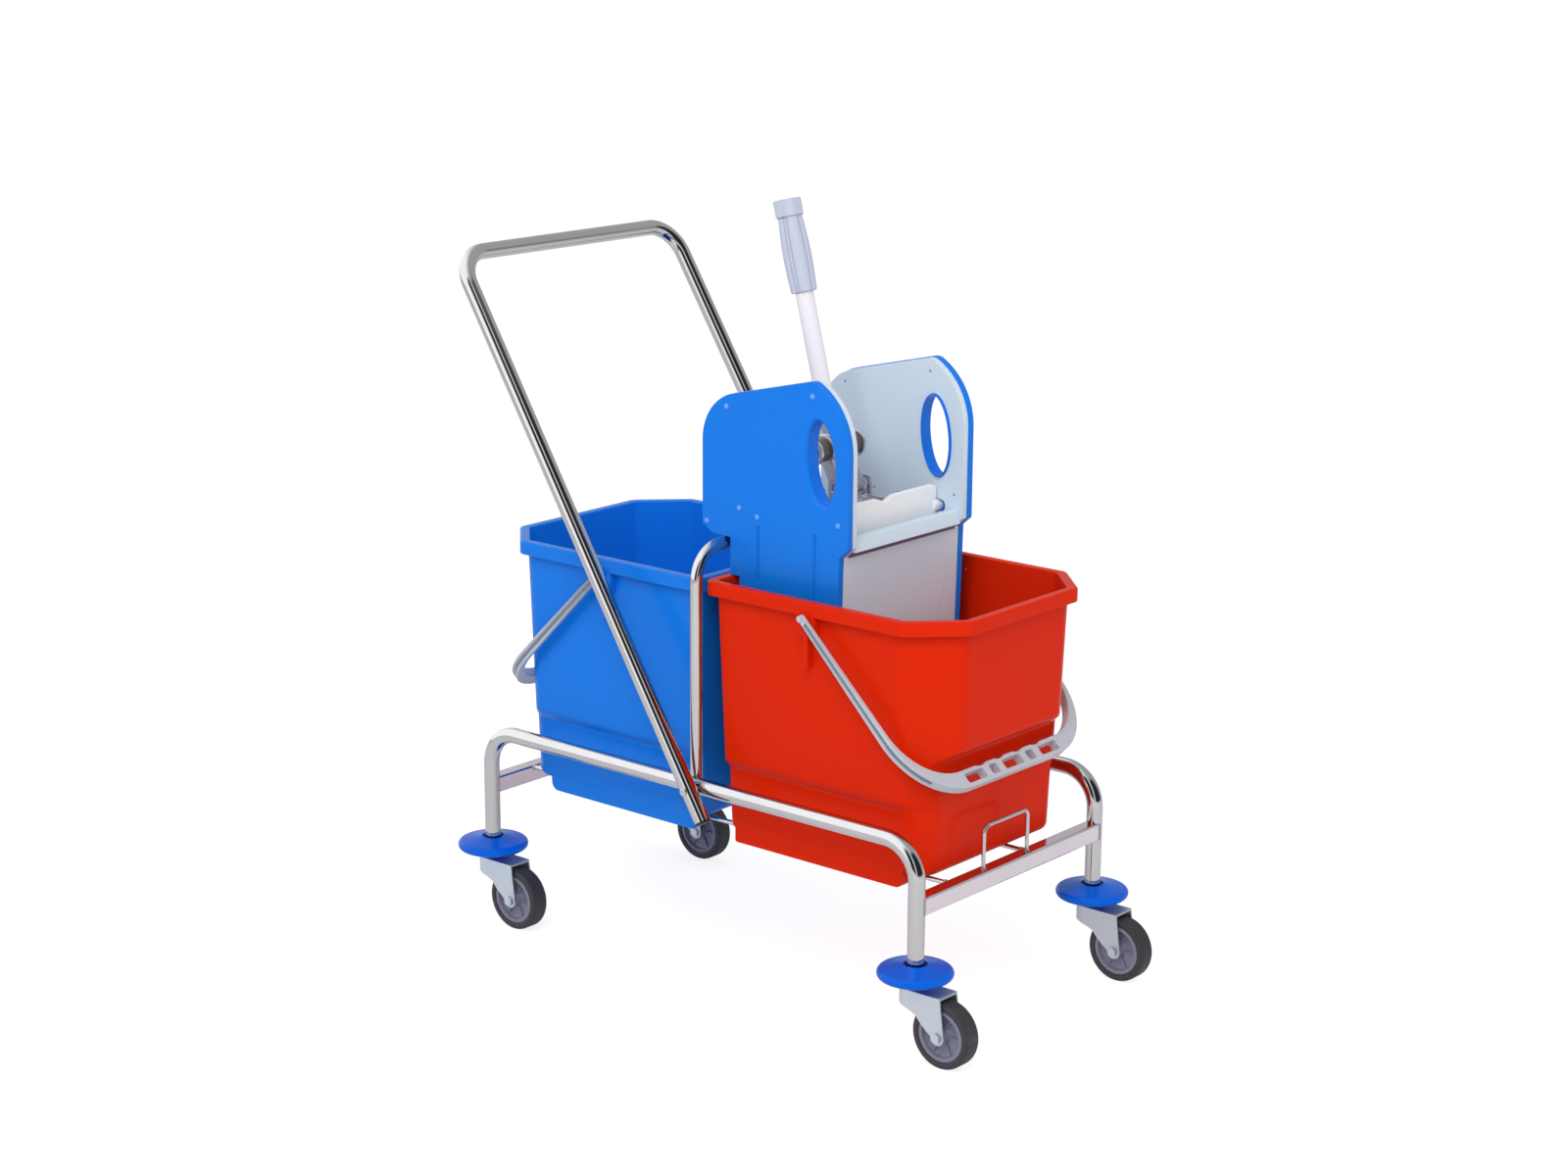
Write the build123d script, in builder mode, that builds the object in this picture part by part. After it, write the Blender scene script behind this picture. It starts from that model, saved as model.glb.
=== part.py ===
from build123d import *
from math import acos, cos, degrees, radians, sin, sqrt, tan
import os

# Double-bucket mopping trolley with a lever wringer.
# Millimetres, +Z up, +X towards the front (red bucket), floor at Z = 0.
# Every piece is drawn from the middle of the four legs; keep() then moves it so that the
# origin is under the middle of the whole trolley.

# Small gaps shared by many fits
SEAT_GAP = 0.1           # flat or saddle faces of fixed pieces
RUN_GAP = 0.1            # radial play of a pin in its eye
CLEARANCE = 0.5          # between pieces that move past each other

# Tube frame
LEG_FROM_BUCKET = 25.0   # leg axes beyond the foot of a bucket's outer wall
TUBE_D = 20.0
TUBE_WALL = 1.5
RAIL_Z = 256.5           # axis of the side rails
RAIL_BEND_R = 45.0
CROSSBAR_DEPTH = 20.0
CROSSBAR_HEIGHT = 22.0
CROSSBAR_WALL = 1.5
CROSSBAR_Z = 183.5       # middle of the crossbars
ROD_D = 6.0
ROD_FROM_SKID = 12.0     # axis of the right rod inside the right skids
ROD_LEFT_Y = 40.0        # the left rod stands near the middle
STOP_WIRE_D = 5.0
STOP_WIDTH = 87.0
STOP_MIDDLE_Y = -7.5    # the hoop stands a little off the middle
STOP_HEIGHT = 52.0
STOP_BEND_R = 9.0

# Push handle
HANDLE_LEAN = 0.632      # backward shift for each millimetre of height
HANDLE_CROSS_X = 13.0    # where a handle leg crosses its rail
HANDLE_TOP_Z = 862.0     # axis of the top bar
HANDLE_FOOT_Z = 222.0
HANDLE_TOP_INSET = 5.0   # each leg leans inwards this much at the top
HANDLE_BEND_R = 42.0
HANDLE_BOLT_D = 8.0
HANDLE_BOLT_HEAD_D = 15.0
HANDLE_BOLT_HEAD_H = 4.5
HANDLE_BOLT_ROUND = 3.0
HANDLE_BOLT_REACH = 9.0  # length of bolt inside the rail
PLUG_LENGTH = 14.0
PLUG_CAP = 3.0

# Arch between the buckets
ARCH_TUBE_D = 15.0
ARCH_TUBE_WALL = 1.5
ARCH_SIDE_GAP = 1.0      # between the arch and the side of a rim
ARCH_FOOT_IN = 8.0       # arch feet stand this far inside the rails' axes
ARCH_OVER_RIM = 38.0     # axis of the arch's bar above the rims
ARCH_BEND_R = 42.0
ARCH_FOOT_DROP = 4.0     # the foot's saddle laps this far below the rail's axis

# Casters
WHEEL_R = 40.0
WHEEL_WIDTH = 25.0
TYRE_DEPTH = 9.0
TYRE_ROUND = 5.0
HUB_RIM = 3.0
HUB_WEB = 7.0
HUB_BOSS_R = 9.0
CASTER_TRAIL = 45.0
AXLE_D = 8.0
AXLE_HEAD_D = 13.0
AXLE_HEAD_H = 4.0
FORK_TOP_Z = 88.0
FORK_SHEET = 2.5
FORK_SIDE_GAP = 2.2      # between the wheel and each fork cheek
FORK_NOSE = 8.0          # fork in front of the axle, at the top
FORK_TIP_R = 9.5
FORK_HEAD_R = 19.0       # round back of the fork's top
FORK_BACK = (13.5, 20.0)     # middle of the hollow back, from the stem and above the axle
STEM_D = 12.0
STEM_HEAD_D = 22.0
STEM_HEAD_H = 4.0
PLUG_IN_LEG = 45.0
BUMPER_R = 45.0
BUMPER_EDGE = 12.0       # height of the bumper's round edge
BUMPER_MID_Z = 103.5
BUMPER_TOP_RISE = 11.0
BUMPER_COLLAR_R = 14.5
BUMPER_BOSS_R = 18.0
LEG_FOOT_Z = 99.0        # the leg stands in the bumper on this level

# Buckets
BUCKET_LENGTH = 357.0    # over the rim
BUCKET_WIDTH = 324.0     # over the rim
BUCKET_GAP = 4.0         # between the two rims
BUCKET_TOP_Z = 507.0
BUCKET_CHAMFER = 57.0    # cut corners at the outer end of the rim
BUCKET_WALL = 3.0
RIM_OVERHANG = 10.0
RIM_SKIRT = 17.0
RIM_CORNER_R = 16.0
RIM_ROUND = 2.4          # along the upper outer edge of the rim
WALL_CORNER_R = 11.0
FRONT_SHOULDER_IN = 19.0
SHOULDER_OVER_GRIP = (39.0, 21.0)    # outer shoulder above the hanging bail's grip
SIDE_SHOULDER_Z = (282.0, 258.0)
SIDE_SHOULDER_IN = 5.0
SIDE_DRAFT = 1.1         # inward lean of the side walls, degrees
END_DRAFT = 2.2          # inward lean of the end walls, degrees
SKID_HEIGHT = 14.0
SKID_WIDTH = 16.0
SKID_CORNER_R = 5.0
SKID_INNER_INSET = 10.0  # skid ends from the bucket's bottom edges
SKID_OUTER_INSET = 38.0
BOTTOM_ROUND = 9.0
SKID_SIDE_INSET = 2.0

# Bails
BAIL_PIVOT = 159.0       # from the inner end of the rim
BAIL_PIVOT_DROP = 18.0   # below the rim
BAIL_PAST_RIM = 55.2     # outer rim to the middle of the grip, with the bail level
BAIL_STAND_OFF = 23.2    # foot of the outer wall to the middle of the hanging grip
BAIL_ARM_OUT = 6.5       # middle of an arm outside the rim
BAIL_ARM_T = 6.0
BAIL_EYE_D = 9.0         # round ends of the arms, which widen from here to the grip
BAIL_DEPTH = 13.0        # of the grip
BAIL_GRIP_W = 23.0
BAIL_OUTER_R = 88.0
BAIL_INNER_R = 72.0
BAIL_GROOVE = (5.0, 1.4)
BAIL_WINDOWS = 3         # long windows in the grip, with a short one between each two
BAIL_WINDOW = (36.0, 12.0)
BAIL_SHORT_WINDOW = 15.0
BAIL_WINDOW_R = 3.0
BAIL_WINDOW_PITCH = 72.0
FINGER_R = 22.0
FINGER_DEPTH = 2.2
FINGER_PITCH = 36.0
BAIL_PIN_D = 4.0
BAIL_PIN_HEAD = (7.6, 1.6)
PIVOT_EAR = (26.0, 24.0)     # width, and height under the rim's skirt
PIVOT_BOSS_D = 12.0
PIVOT_RIB = (7.0, 38.0)

# Wringer side panels, drawn in X and Z
WRINGER_WIDTH = 241.0
SHELL_T = 10.0
LINER_T = 8.5
LINER_INSET = 1.0
PANEL_REAR_X = -34.5
PANEL_FRONT_X = 189.5
PANEL_TOP_REAR_Z = 716.0     # where the top line meets the rear edge
PANEL_CREST = (136.5, 757.0)
PANEL_BROW_Z = 672.0         # the front edge is straight below this
PANEL_BROW_MID = (173.0, 726.5)
PANEL_REAR_R = 62.0
PANEL_CREST_R = 15.5
EAR_BOTTOM_Z = 553.0
EAR_CHAMFER = (17.0, 11.0)
WAIST_X = (9.5, 177.0)
WELL_REAR_X = 24.0
WELL_BOTTOM_Z = 345.0
WELL_TAPER = 5.0
HAND_HOLE = (147.0, 662.0)
HAND_HOLE_SIZE = (38.0, 98.0)
HAND_HOLE_EDGE = 3.5      # cut round the hole on the outside
HAND_HOLE_COLLAR = 1.5    # wall of the collar, which ends as deep below the liner's face
PANEL_GROOVES = ((53.0, 541.0, 64.0), (140.5, 536.0, 80.0))
PANEL_GROOVE_CUT = (3.0, 1.0)
PANEL_SCREWS = ((4, 711), (135.5, 739), (24, 591), (52, 584), (-27, 568), (175, 592))
SCREW_HEAD = (7.0, 1.8)
SCREW_HEAD_TAPER = 30.0
SCREW_SHANK_D = 3.2
SCREW_LENGTH = 12.0

# Wringer front, back and floor
FRONT_PLATE_T = 6.0
FRONT_PLATE_SET_BACK = 0.5   # behind the shells' front edge
FRONT_LIP_Z = (558.0, 574.0)
FRONT_LIP_OUT = 10.0
FRONT_LIP_TOP = 4.0
BACK_PLATE_T = 5.0
BACK_PLATE_TOP_Z = 535.0
FLOOR_T = 5.0
DRAIN_SLOT = (60.0, 6.0)
DRAIN_PITCH = 16.0
DRAIN_ROWS = 5

# Press plate and lever
PRESS_X = 150.0          # pressing face
PRESS_T = 7.0
PRESS_TOP_Z = 603.0
PRESS_SIDE_GAP = 2.0
GUIDE_STUD_D = 15.0
GUIDE_Z = (576.0, 400.0)
GUIDE_SLOT_FRONT_X = 161.5
PRESS_NOTCH = (34.0, 6.0)
PRESS_TRAVEL = 55.4
SHAFT_AT = (70.0, 652.0)
SHAFT_D = 16.0
BUSH_D = 22.0
BUSH_SHOULDER_D = 27.0
HUB_D = 36.0
HUB_WIDTH = 44.0
BRACKET_IN_Y = 38.0      # inner face of each bracket cheek
BRACKET_T = 4.0
BRACKET_EYE_R = 16.5
BRACKET_FOOT = (20.0, 90.0)
BRACKET_FOOT_TOP_Z = 528.0
BRACKET_FRONT_X = 64.0
SHAFT_END = 3.0          # shaft beyond the bracket
CRANK_R = 55.0
CRANK_ANGLE = 28.0       # crank ahead of straight down, degrees
CRANK_ARM_T = 6.0
CRANK_PIN_D = 8.0
CRANK_EYE_R = 9.0
LEVER_LEAN = 14.7        # backward lean, degrees
LEVER_TUBE_D = 22.0
LEVER_TUBE_WALL = 1.5
SOCKET_D = 31.0
SOCKET_SPAN = (24.0, 62.0)   # bored part of the hub's socket, from the shaft
GRIP_SPAN = (189.0, 301.0)   # from the shaft
GRIP_SIZE = (28.4, 25.8)
GRIP_CORNER_R = 8.6
GRIP_FLANGE = 21.0
GRIP_FLANGE_OUT = 0.8
GRIP_FLUTE_R = 1.6
YOKE_T = 4.0
YOKE_GAP = 3.0           # between the crank arm and a yoke arm
YOKE_HEIGHT = 30.0
YOKE_SLOT = (10.6, 24.0)
YOKE_SHANK = 16.0
YOKE_FOOT = 16.0

# Places that follow from the sizes above
SIDES = ((-1, "right"), (1, "left"))
ENDS = ((1, "front"), (-1, "rear"))
TUBE_R = TUBE_D / 2
ORIGIN_SHIFT = -(CASTER_TRAIL + WHEEL_R - BUMPER_R) / 2
CROSSBAR_TOP_Z = CROSSBAR_Z + CROSSBAR_HEIGHT / 2
BUCKET_BOTTOM_Z = CROSSBAR_TOP_Z + 3 * SEAT_GAP
BUCKET_HEIGHT = BUCKET_TOP_Z - BUCKET_BOTTOM_Z

# The bail goes round the outer end of the rim, and its grip hangs in front of the recessed wall
PIVOT_X = BUCKET_GAP / 2 + BAIL_PIVOT
PIVOT_Z = BUCKET_TOP_Z - BAIL_PIVOT_DROP
PIVOT_TO_RIM = BUCKET_LENGTH - BAIL_PIVOT
WALL_FOOT_IN = RIM_OVERHANG + BUCKET_HEIGHT * tan(radians(END_DRAFT)) + FRONT_SHOULDER_IN
BAIL_REACH = PIVOT_TO_RIM + BAIL_PAST_RIM
BAIL_ARM_Y = BUCKET_WIDTH / 2 + BAIL_ARM_OUT
BAIL_HANG = degrees(acos((PIVOT_TO_RIM - WALL_FOOT_IN + BAIL_STAND_OFF) / BAIL_REACH))
GRIP_Z = PIVOT_Z - BAIL_REACH * sin(radians(BAIL_HANG))
FRONT_SHOULDER_Z = tuple(GRIP_Z + rise for rise in SHOULDER_OVER_GRIP)


def wall_insets(z):
    """Inset of the side and end walls from the rim at a height, and the outer shoulder."""
    drop = BUCKET_TOP_Z - z
    side_in = RIM_OVERHANG + drop * tan(radians(SIDE_DRAFT))
    side_in += SIDE_SHOULDER_IN if z <= SIDE_SHOULDER_Z[1] else 0
    end_in = RIM_OVERHANG + drop * tan(radians(END_DRAFT))
    shoulder = FRONT_SHOULDER_IN if z <= FRONT_SHOULDER_Z[1] else 0
    return side_in, end_in, shoulder


# The frame goes round both buckets
SKID_Y = BUCKET_WIDTH / 2 - wall_insets(BUCKET_BOTTOM_Z)[0] - SKID_SIDE_INSET - SKID_WIDTH / 2
ROD_Y = (ROD_FROM_SKID + SKID_WIDTH / 2 - SKID_Y, ROD_LEFT_Y)
ARCH_SPACING_Y = BUCKET_WIDTH + ARCH_TUBE_D + 2 * ARCH_SIDE_GAP
ARCH_TOP_Z = BUCKET_TOP_Z + ARCH_OVER_RIM
HALF_X = BUCKET_GAP / 2 + BUCKET_LENGTH - WALL_FOOT_IN + LEG_FROM_BUCKET
HALF_Y = ARCH_SPACING_Y / 2 + ARCH_FOOT_IN
LEG_SPACING_X = 2 * HALF_X
LEG_SPACING_Y = 2 * HALF_Y
HANDLE_Y = HALF_Y + TUBE_D + SEAT_GAP

os.makedirs("parts", exist_ok=True)


def keep(piece, name):
    """Move a finished piece to the trolley's origin, label it and write it."""
    placed = piece.part.moved(Location((ORIGIN_SHIFT, 0, 0)))
    placed.label = name
    export_step(placed, f"parts/{name}.step")


def round_tube(outer_d, wall):
    """Ring section of a tube, drawn in the current sketch."""
    Circle(outer_d / 2)
    Circle(outer_d / 2 - wall, mode=Mode.SUBTRACT)


# Side rails: one bent tube with two legs on each side
for side, hand in SIDES:
    rail_y = side * HALF_Y
    with BuildPart() as side_rail:
        with BuildLine() as rail_path:
            FilletPolyline(
                (-HALF_X, rail_y, LEG_FOOT_Z),
                (-HALF_X, rail_y, RAIL_Z),
                (HALF_X, rail_y, RAIL_Z),
                (HALF_X, rail_y, LEG_FOOT_Z),
                radius=RAIL_BEND_R,
            )
        with BuildSketch(Plane((-HALF_X, rail_y, LEG_FOOT_Z))):
            round_tube(TUBE_D, TUBE_WALL)
        sweep(path=rail_path.wires()[0])
        with Locations((HANDLE_CROSS_X, rail_y + side * TUBE_R, RAIL_Z)):
            Cylinder(
                HANDLE_BOLT_D / 2 + RUN_GAP, TUBE_R, rotation=(90, 0, 0), mode=Mode.SUBTRACT
            )
    keep(side_rail, f"side_rail_{hand}")

# Crossbars: square tubes welded between the legs
for end, place in ENDS:
    with BuildPart() as crossbar:
        with Locations((end * HALF_X, 0, CROSSBAR_Z)):
            Box(CROSSBAR_DEPTH, LEG_SPACING_Y, CROSSBAR_HEIGHT)
            Box(
                CROSSBAR_DEPTH - 2 * CROSSBAR_WALL,
                LEG_SPACING_Y,
                CROSSBAR_HEIGHT - 2 * CROSSBAR_WALL,
                mode=Mode.SUBTRACT,
            )
        with Locations(
            (end * HALF_X, -HALF_Y, CROSSBAR_Z), (end * HALF_X, HALF_Y, CROSSBAR_Z)
        ):
            Cylinder(TUBE_R + SEAT_GAP, 2 * CROSSBAR_HEIGHT, mode=Mode.SUBTRACT)
    keep(crossbar, f"crossbar_{place}")

# Support rods: two round bars that carry the buckets, welded between the crossbars
ROD_LENGTH = LEG_SPACING_X - CROSSBAR_DEPTH - 2 * SEAT_GAP
with BuildPart() as bucket_rods:
    with Locations(*((0, rod_y, CROSSBAR_TOP_Z - ROD_D / 2) for rod_y in ROD_Y)):
        Cylinder(ROD_D / 2, ROD_LENGTH, rotation=(0, 90, 0))
keep(bucket_rods, "bucket_rods")

# Bucket stop: a wire hoop that stands on the front crossbar
STOP_FROM_Y = STOP_MIDDLE_Y - STOP_WIDTH / 2
STOP_TO_Y = STOP_MIDDLE_Y + STOP_WIDTH / 2
with BuildPart() as bucket_stop:
    with BuildLine() as stop_path:
        FilletPolyline(
            (HALF_X, STOP_FROM_Y, CROSSBAR_TOP_Z),
            (HALF_X, STOP_FROM_Y, CROSSBAR_TOP_Z + STOP_HEIGHT),
            (HALF_X, STOP_TO_Y, CROSSBAR_TOP_Z + STOP_HEIGHT),
            (HALF_X, STOP_TO_Y, CROSSBAR_TOP_Z),
            radius=STOP_BEND_R,
        )
    with BuildSketch(Plane((HALF_X, STOP_FROM_Y, CROSSBAR_TOP_Z))):
        Circle(STOP_WIRE_D / 2)
    sweep(path=stop_path.wires()[0])
keep(bucket_stop, "bucket_stop")


def handle_x(z):
    """X of the handle's axis at a height."""
    return HANDLE_CROSS_X - HANDLE_LEAN * (z - RAIL_Z)


# Push handle: a U-shaped tube bolted to the outside of both rails
HANDLE_FOOT = Vector(handle_x(HANDLE_FOOT_Z), -HANDLE_Y, HANDLE_FOOT_Z)
HANDLE_TOP = Vector(handle_x(HANDLE_TOP_Z), -HANDLE_Y + HANDLE_TOP_INSET, HANDLE_TOP_Z)
HANDLE_AXIS = (HANDLE_TOP - HANDLE_FOOT).normalized()
with BuildPart() as push_handle:
    with BuildLine() as handle_path:
        FilletPolyline(
            HANDLE_FOOT,
            HANDLE_TOP,
            (HANDLE_TOP.X, -HANDLE_TOP.Y, HANDLE_TOP.Z),
            (HANDLE_FOOT.X, -HANDLE_FOOT.Y, HANDLE_FOOT.Z),
            radius=HANDLE_BEND_R,
        )
    with BuildSketch(Plane(HANDLE_FOOT, z_dir=HANDLE_AXIS)):
        round_tube(TUBE_D, TUBE_WALL)
    sweep(path=handle_path.wires()[0])
    with Locations((HANDLE_CROSS_X, 0, RAIL_Z)):
        Cylinder(
            HANDLE_BOLT_D / 2 + RUN_GAP, 3 * HANDLE_Y, rotation=(90, 0, 0), mode=Mode.SUBTRACT
        )
keep(push_handle, "push_handle")

# Handle bolts: domed heads outside, threaded into the rail
BOLT_HEAD_Y = HANDLE_Y + TUBE_R + SEAT_GAP
with BuildPart() as handle_bolts:
    for side, hand in SIDES:
        with BuildSketch(Plane.XZ.offset(-side * (HALF_Y + TUBE_R - HANDLE_BOLT_REACH))):
            with Locations((HANDLE_CROSS_X, RAIL_Z)):
                Circle(HANDLE_BOLT_D / 2)
        extrude(amount=-side * (BOLT_HEAD_Y - HALF_Y - TUBE_R + HANDLE_BOLT_REACH))
        with BuildSketch(Plane.XZ.offset(-side * BOLT_HEAD_Y)):
            with Locations((HANDLE_CROSS_X, RAIL_Z)):
                Circle(HANDLE_BOLT_HEAD_D / 2)
        extrude(amount=-side * HANDLE_BOLT_HEAD_H)
    head_edges = handle_bolts.edges().filter_by(GeomType.CIRCLE).sort_by(Axis.Y)
    fillet([head_edges[0], head_edges[-1]], HANDLE_BOLT_ROUND)
keep(handle_bolts, "handle_bolts")

# Handle plugs: plastic stoppers in the open lower ends of the handle
with BuildPart() as handle_plugs:
    for side, hand in SIDES:
        foot = Vector(HANDLE_FOOT.X, side * HANDLE_Y, HANDLE_FOOT.Z)
        axis = Vector(HANDLE_AXIS.X, -side * HANDLE_AXIS.Y, HANDLE_AXIS.Z)
        with BuildSketch(Plane(foot - axis * SEAT_GAP, z_dir=-axis)):
            Circle(TUBE_R)
        extrude(amount=PLUG_CAP)
        with BuildSketch(Plane(foot - axis * SEAT_GAP, z_dir=axis)):
            Circle(TUBE_R - TUBE_WALL - SEAT_GAP)
        extrude(amount=PLUG_LENGTH)
keep(handle_plugs, "handle_plugs")

# Arch: an upside-down U of tube across the trolley, welded on both rails
with BuildPart() as arch:
    with BuildLine() as arch_path:
        FilletPolyline(
            (0, -ARCH_SPACING_Y / 2, RAIL_Z - ARCH_FOOT_DROP),
            (0, -ARCH_SPACING_Y / 2, ARCH_TOP_Z),
            (0, ARCH_SPACING_Y / 2, ARCH_TOP_Z),
            (0, ARCH_SPACING_Y / 2, RAIL_Z - ARCH_FOOT_DROP),
            radius=ARCH_BEND_R,
        )
    with BuildSketch(Plane((0, -ARCH_SPACING_Y / 2, RAIL_Z - ARCH_FOOT_DROP))):
        round_tube(ARCH_TUBE_D, ARCH_TUBE_WALL)
    sweep(path=arch_path.wires()[0])
    with Locations((0, -HALF_Y, RAIL_Z), (0, HALF_Y, RAIL_Z)):
        Cylinder(TUBE_R + SEAT_GAP, 4 * ARCH_TUBE_D, rotation=(0, 90, 0), mode=Mode.SUBTRACT)
keep(arch, "arch")

# Casters: bumper, stem, fork, axle, hub and tyre on each leg
FORK_INNER_Y = WHEEL_WIDTH / 2 + FORK_SIDE_GAP
FORK_OUTER_Y = FORK_INNER_Y + FORK_SHEET
HUB_R = WHEEL_R - TYRE_DEPTH
BUMPER_BOTTOM_Z = FORK_TOP_Z + 3 * SEAT_GAP
BUMPER_EDGE_R = BUMPER_EDGE / 2

for (end, place), (side, hand) in [(e, s) for e in ENDS for s in SIDES]:
    corner = f"{place}_{hand}"
    leg_x = end * HALF_X
    leg_y = side * HALF_Y
    wheel_x = leg_x + CASTER_TRAIL

    # Bumper: a round-edged disc with a socket for the leg and a boss over the fork
    with BuildPart() as bumper:
        with BuildSketch(Plane((leg_x, leg_y, 0), x_dir=(1, 0, 0), z_dir=(0, -1, 0))):
            with BuildLine():
                Polyline(
                    (BUMPER_R - BUMPER_EDGE_R, BUMPER_MID_Z - BUMPER_EDGE_R),
                    (BUMPER_BOSS_R, BUMPER_MID_Z - BUMPER_EDGE_R),
                    (BUMPER_BOSS_R, BUMPER_BOTTOM_Z),
                    (STEM_D / 2 + RUN_GAP, BUMPER_BOTTOM_Z),
                    (STEM_D / 2 + RUN_GAP, LEG_FOOT_Z - SEAT_GAP),
                    (TUBE_R + SEAT_GAP, LEG_FOOT_Z - SEAT_GAP),
                    (TUBE_R + SEAT_GAP, BUMPER_MID_Z + BUMPER_TOP_RISE),
                    (BUMPER_COLLAR_R, BUMPER_MID_Z + BUMPER_TOP_RISE),
                    (BUMPER_R - BUMPER_EDGE_R, BUMPER_MID_Z + BUMPER_EDGE_R),
                )
                ThreePointArc(
                    (BUMPER_R - BUMPER_EDGE_R, BUMPER_MID_Z + BUMPER_EDGE_R),
                    (BUMPER_R, BUMPER_MID_Z),
                    (BUMPER_R - BUMPER_EDGE_R, BUMPER_MID_Z - BUMPER_EDGE_R),
                )
            make_face()
        revolve(axis=Axis((leg_x, leg_y, 0), (0, 0, 1)))
    keep(bumper, f"bumper_{corner}")

    # Stem: the pin on which the fork swivels, plugged into the leg
    with BuildPart() as stem:
        with Locations((leg_x, leg_y, FORK_TOP_Z - FORK_SHEET - RUN_GAP)):
            Cylinder(
                STEM_HEAD_D / 2,
                STEM_HEAD_H,
                align=(Align.CENTER, Align.CENTER, Align.MAX),
            )
            Cylinder(
                STEM_D / 2,
                LEG_FOOT_Z - FORK_TOP_Z + FORK_SHEET + RUN_GAP,
                align=(Align.CENTER, Align.CENTER, Align.MIN),
            )
        with Locations((leg_x, leg_y, LEG_FOOT_Z)):
            Cylinder(
                TUBE_R - TUBE_WALL - SEAT_GAP,
                PLUG_IN_LEG,
                align=(Align.CENTER, Align.CENTER, Align.MIN),
            )
    keep(stem, f"caster_stem_{corner}")

    # Fork: pressed sheet with a round-backed top and two cheeks that carry the axle
    with BuildPart() as fork:
        with BuildSketch(Plane((leg_x, leg_y, FORK_TOP_Z))):
            with BuildLine():
                Polyline(
                    (0, FORK_OUTER_Y),
                    (CASTER_TRAIL + FORK_NOSE, FORK_OUTER_Y),
                    (CASTER_TRAIL + FORK_NOSE, -FORK_OUTER_Y),
                    (0, -FORK_OUTER_Y),
                )
                ThreePointArc((0, -FORK_OUTER_Y), (-FORK_HEAD_R, 0), (0, FORK_OUTER_Y))
            make_face()
        extrude(amount=-FORK_SHEET)
        with BuildSketch(
            Plane((leg_x, leg_y - FORK_OUTER_Y, 0), x_dir=(1, 0, 0), z_dir=(0, -1, 0))
        ):
            with BuildLine():
                Polyline(
                    (CASTER_TRAIL + FORK_TIP_R, WHEEL_R),
                    (CASTER_TRAIL + FORK_NOSE, FORK_TOP_Z - FORK_SHEET),
                    (0, FORK_TOP_Z - FORK_SHEET),
                )
                ThreePointArc(
                    (0, FORK_TOP_Z - FORK_SHEET),
                    (FORK_BACK[0], WHEEL_R + FORK_BACK[1]),
                    (CASTER_TRAIL - FORK_TIP_R, WHEEL_R),
                )
                ThreePointArc(
                    (CASTER_TRAIL - FORK_TIP_R, WHEEL_R),
                    (CASTER_TRAIL, WHEEL_R - FORK_TIP_R),
                    (CASTER_TRAIL + FORK_TIP_R, WHEEL_R),
                )
            make_face()
            with Locations((CASTER_TRAIL, WHEEL_R)):
                Circle(AXLE_D / 2 + SEAT_GAP / 2, mode=Mode.SUBTRACT)
        extrude(amount=-FORK_SHEET)
        mirror(about=Plane((leg_x, leg_y, 0), z_dir=(0, 1, 0)))
        with Locations((leg_x, leg_y, FORK_TOP_Z)):
            Cylinder(STEM_D / 2 + RUN_GAP, 3 * FORK_SHEET, mode=Mode.SUBTRACT)
    keep(fork, f"caster_fork_{corner}")

    # Axle: a bolt across the fork, with a head and a nut
    with BuildPart() as axle:
        with Locations((wheel_x, leg_y, WHEEL_R)):
            Cylinder(AXLE_D / 2, 2 * FORK_OUTER_Y, rotation=(90, 0, 0))
        with BuildSketch(Plane((wheel_x, leg_y - FORK_OUTER_Y, WHEEL_R), z_dir=(0, -1, 0))):
            RegularPolygon(AXLE_HEAD_D / 2, 6)
        extrude(amount=AXLE_HEAD_H)
        with BuildSketch(Plane((wheel_x, leg_y + FORK_OUTER_Y, WHEEL_R), z_dir=(0, 1, 0))):
            RegularPolygon(AXLE_HEAD_D / 2, 6)
        extrude(amount=AXLE_HEAD_H)
    keep(axle, f"caster_axle_{corner}")

    # Hub: dished wheel centre with a bored boss
    with BuildPart() as hub:
        with BuildSketch(Plane((wheel_x, leg_y, WHEEL_R), x_dir=(1, 0, 0), z_dir=(0, 0, 1))):
            with BuildLine():
                Polyline(
                    (AXLE_D / 2 + RUN_GAP, -WHEEL_WIDTH / 2),
                    (HUB_BOSS_R, -WHEEL_WIDTH / 2),
                    (HUB_BOSS_R, -HUB_WEB / 2),
                    (HUB_R - HUB_RIM, -HUB_WEB / 2),
                    (HUB_R - HUB_RIM, -WHEEL_WIDTH / 2 + HUB_RIM),
                    (HUB_R, -WHEEL_WIDTH / 2 + HUB_RIM),
                    (HUB_R, WHEEL_WIDTH / 2 - HUB_RIM),
                    (HUB_R - HUB_RIM, WHEEL_WIDTH / 2 - HUB_RIM),
                    (HUB_R - HUB_RIM, HUB_WEB / 2),
                    (HUB_BOSS_R, HUB_WEB / 2),
                    (HUB_BOSS_R, WHEEL_WIDTH / 2),
                    (AXLE_D / 2 + RUN_GAP, WHEEL_WIDTH / 2),
                    close=True,
                )
            make_face()
        revolve(axis=Axis((wheel_x, leg_y, WHEEL_R), (0, 1, 0)))
    keep(hub, f"wheel_hub_{corner}")

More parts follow.
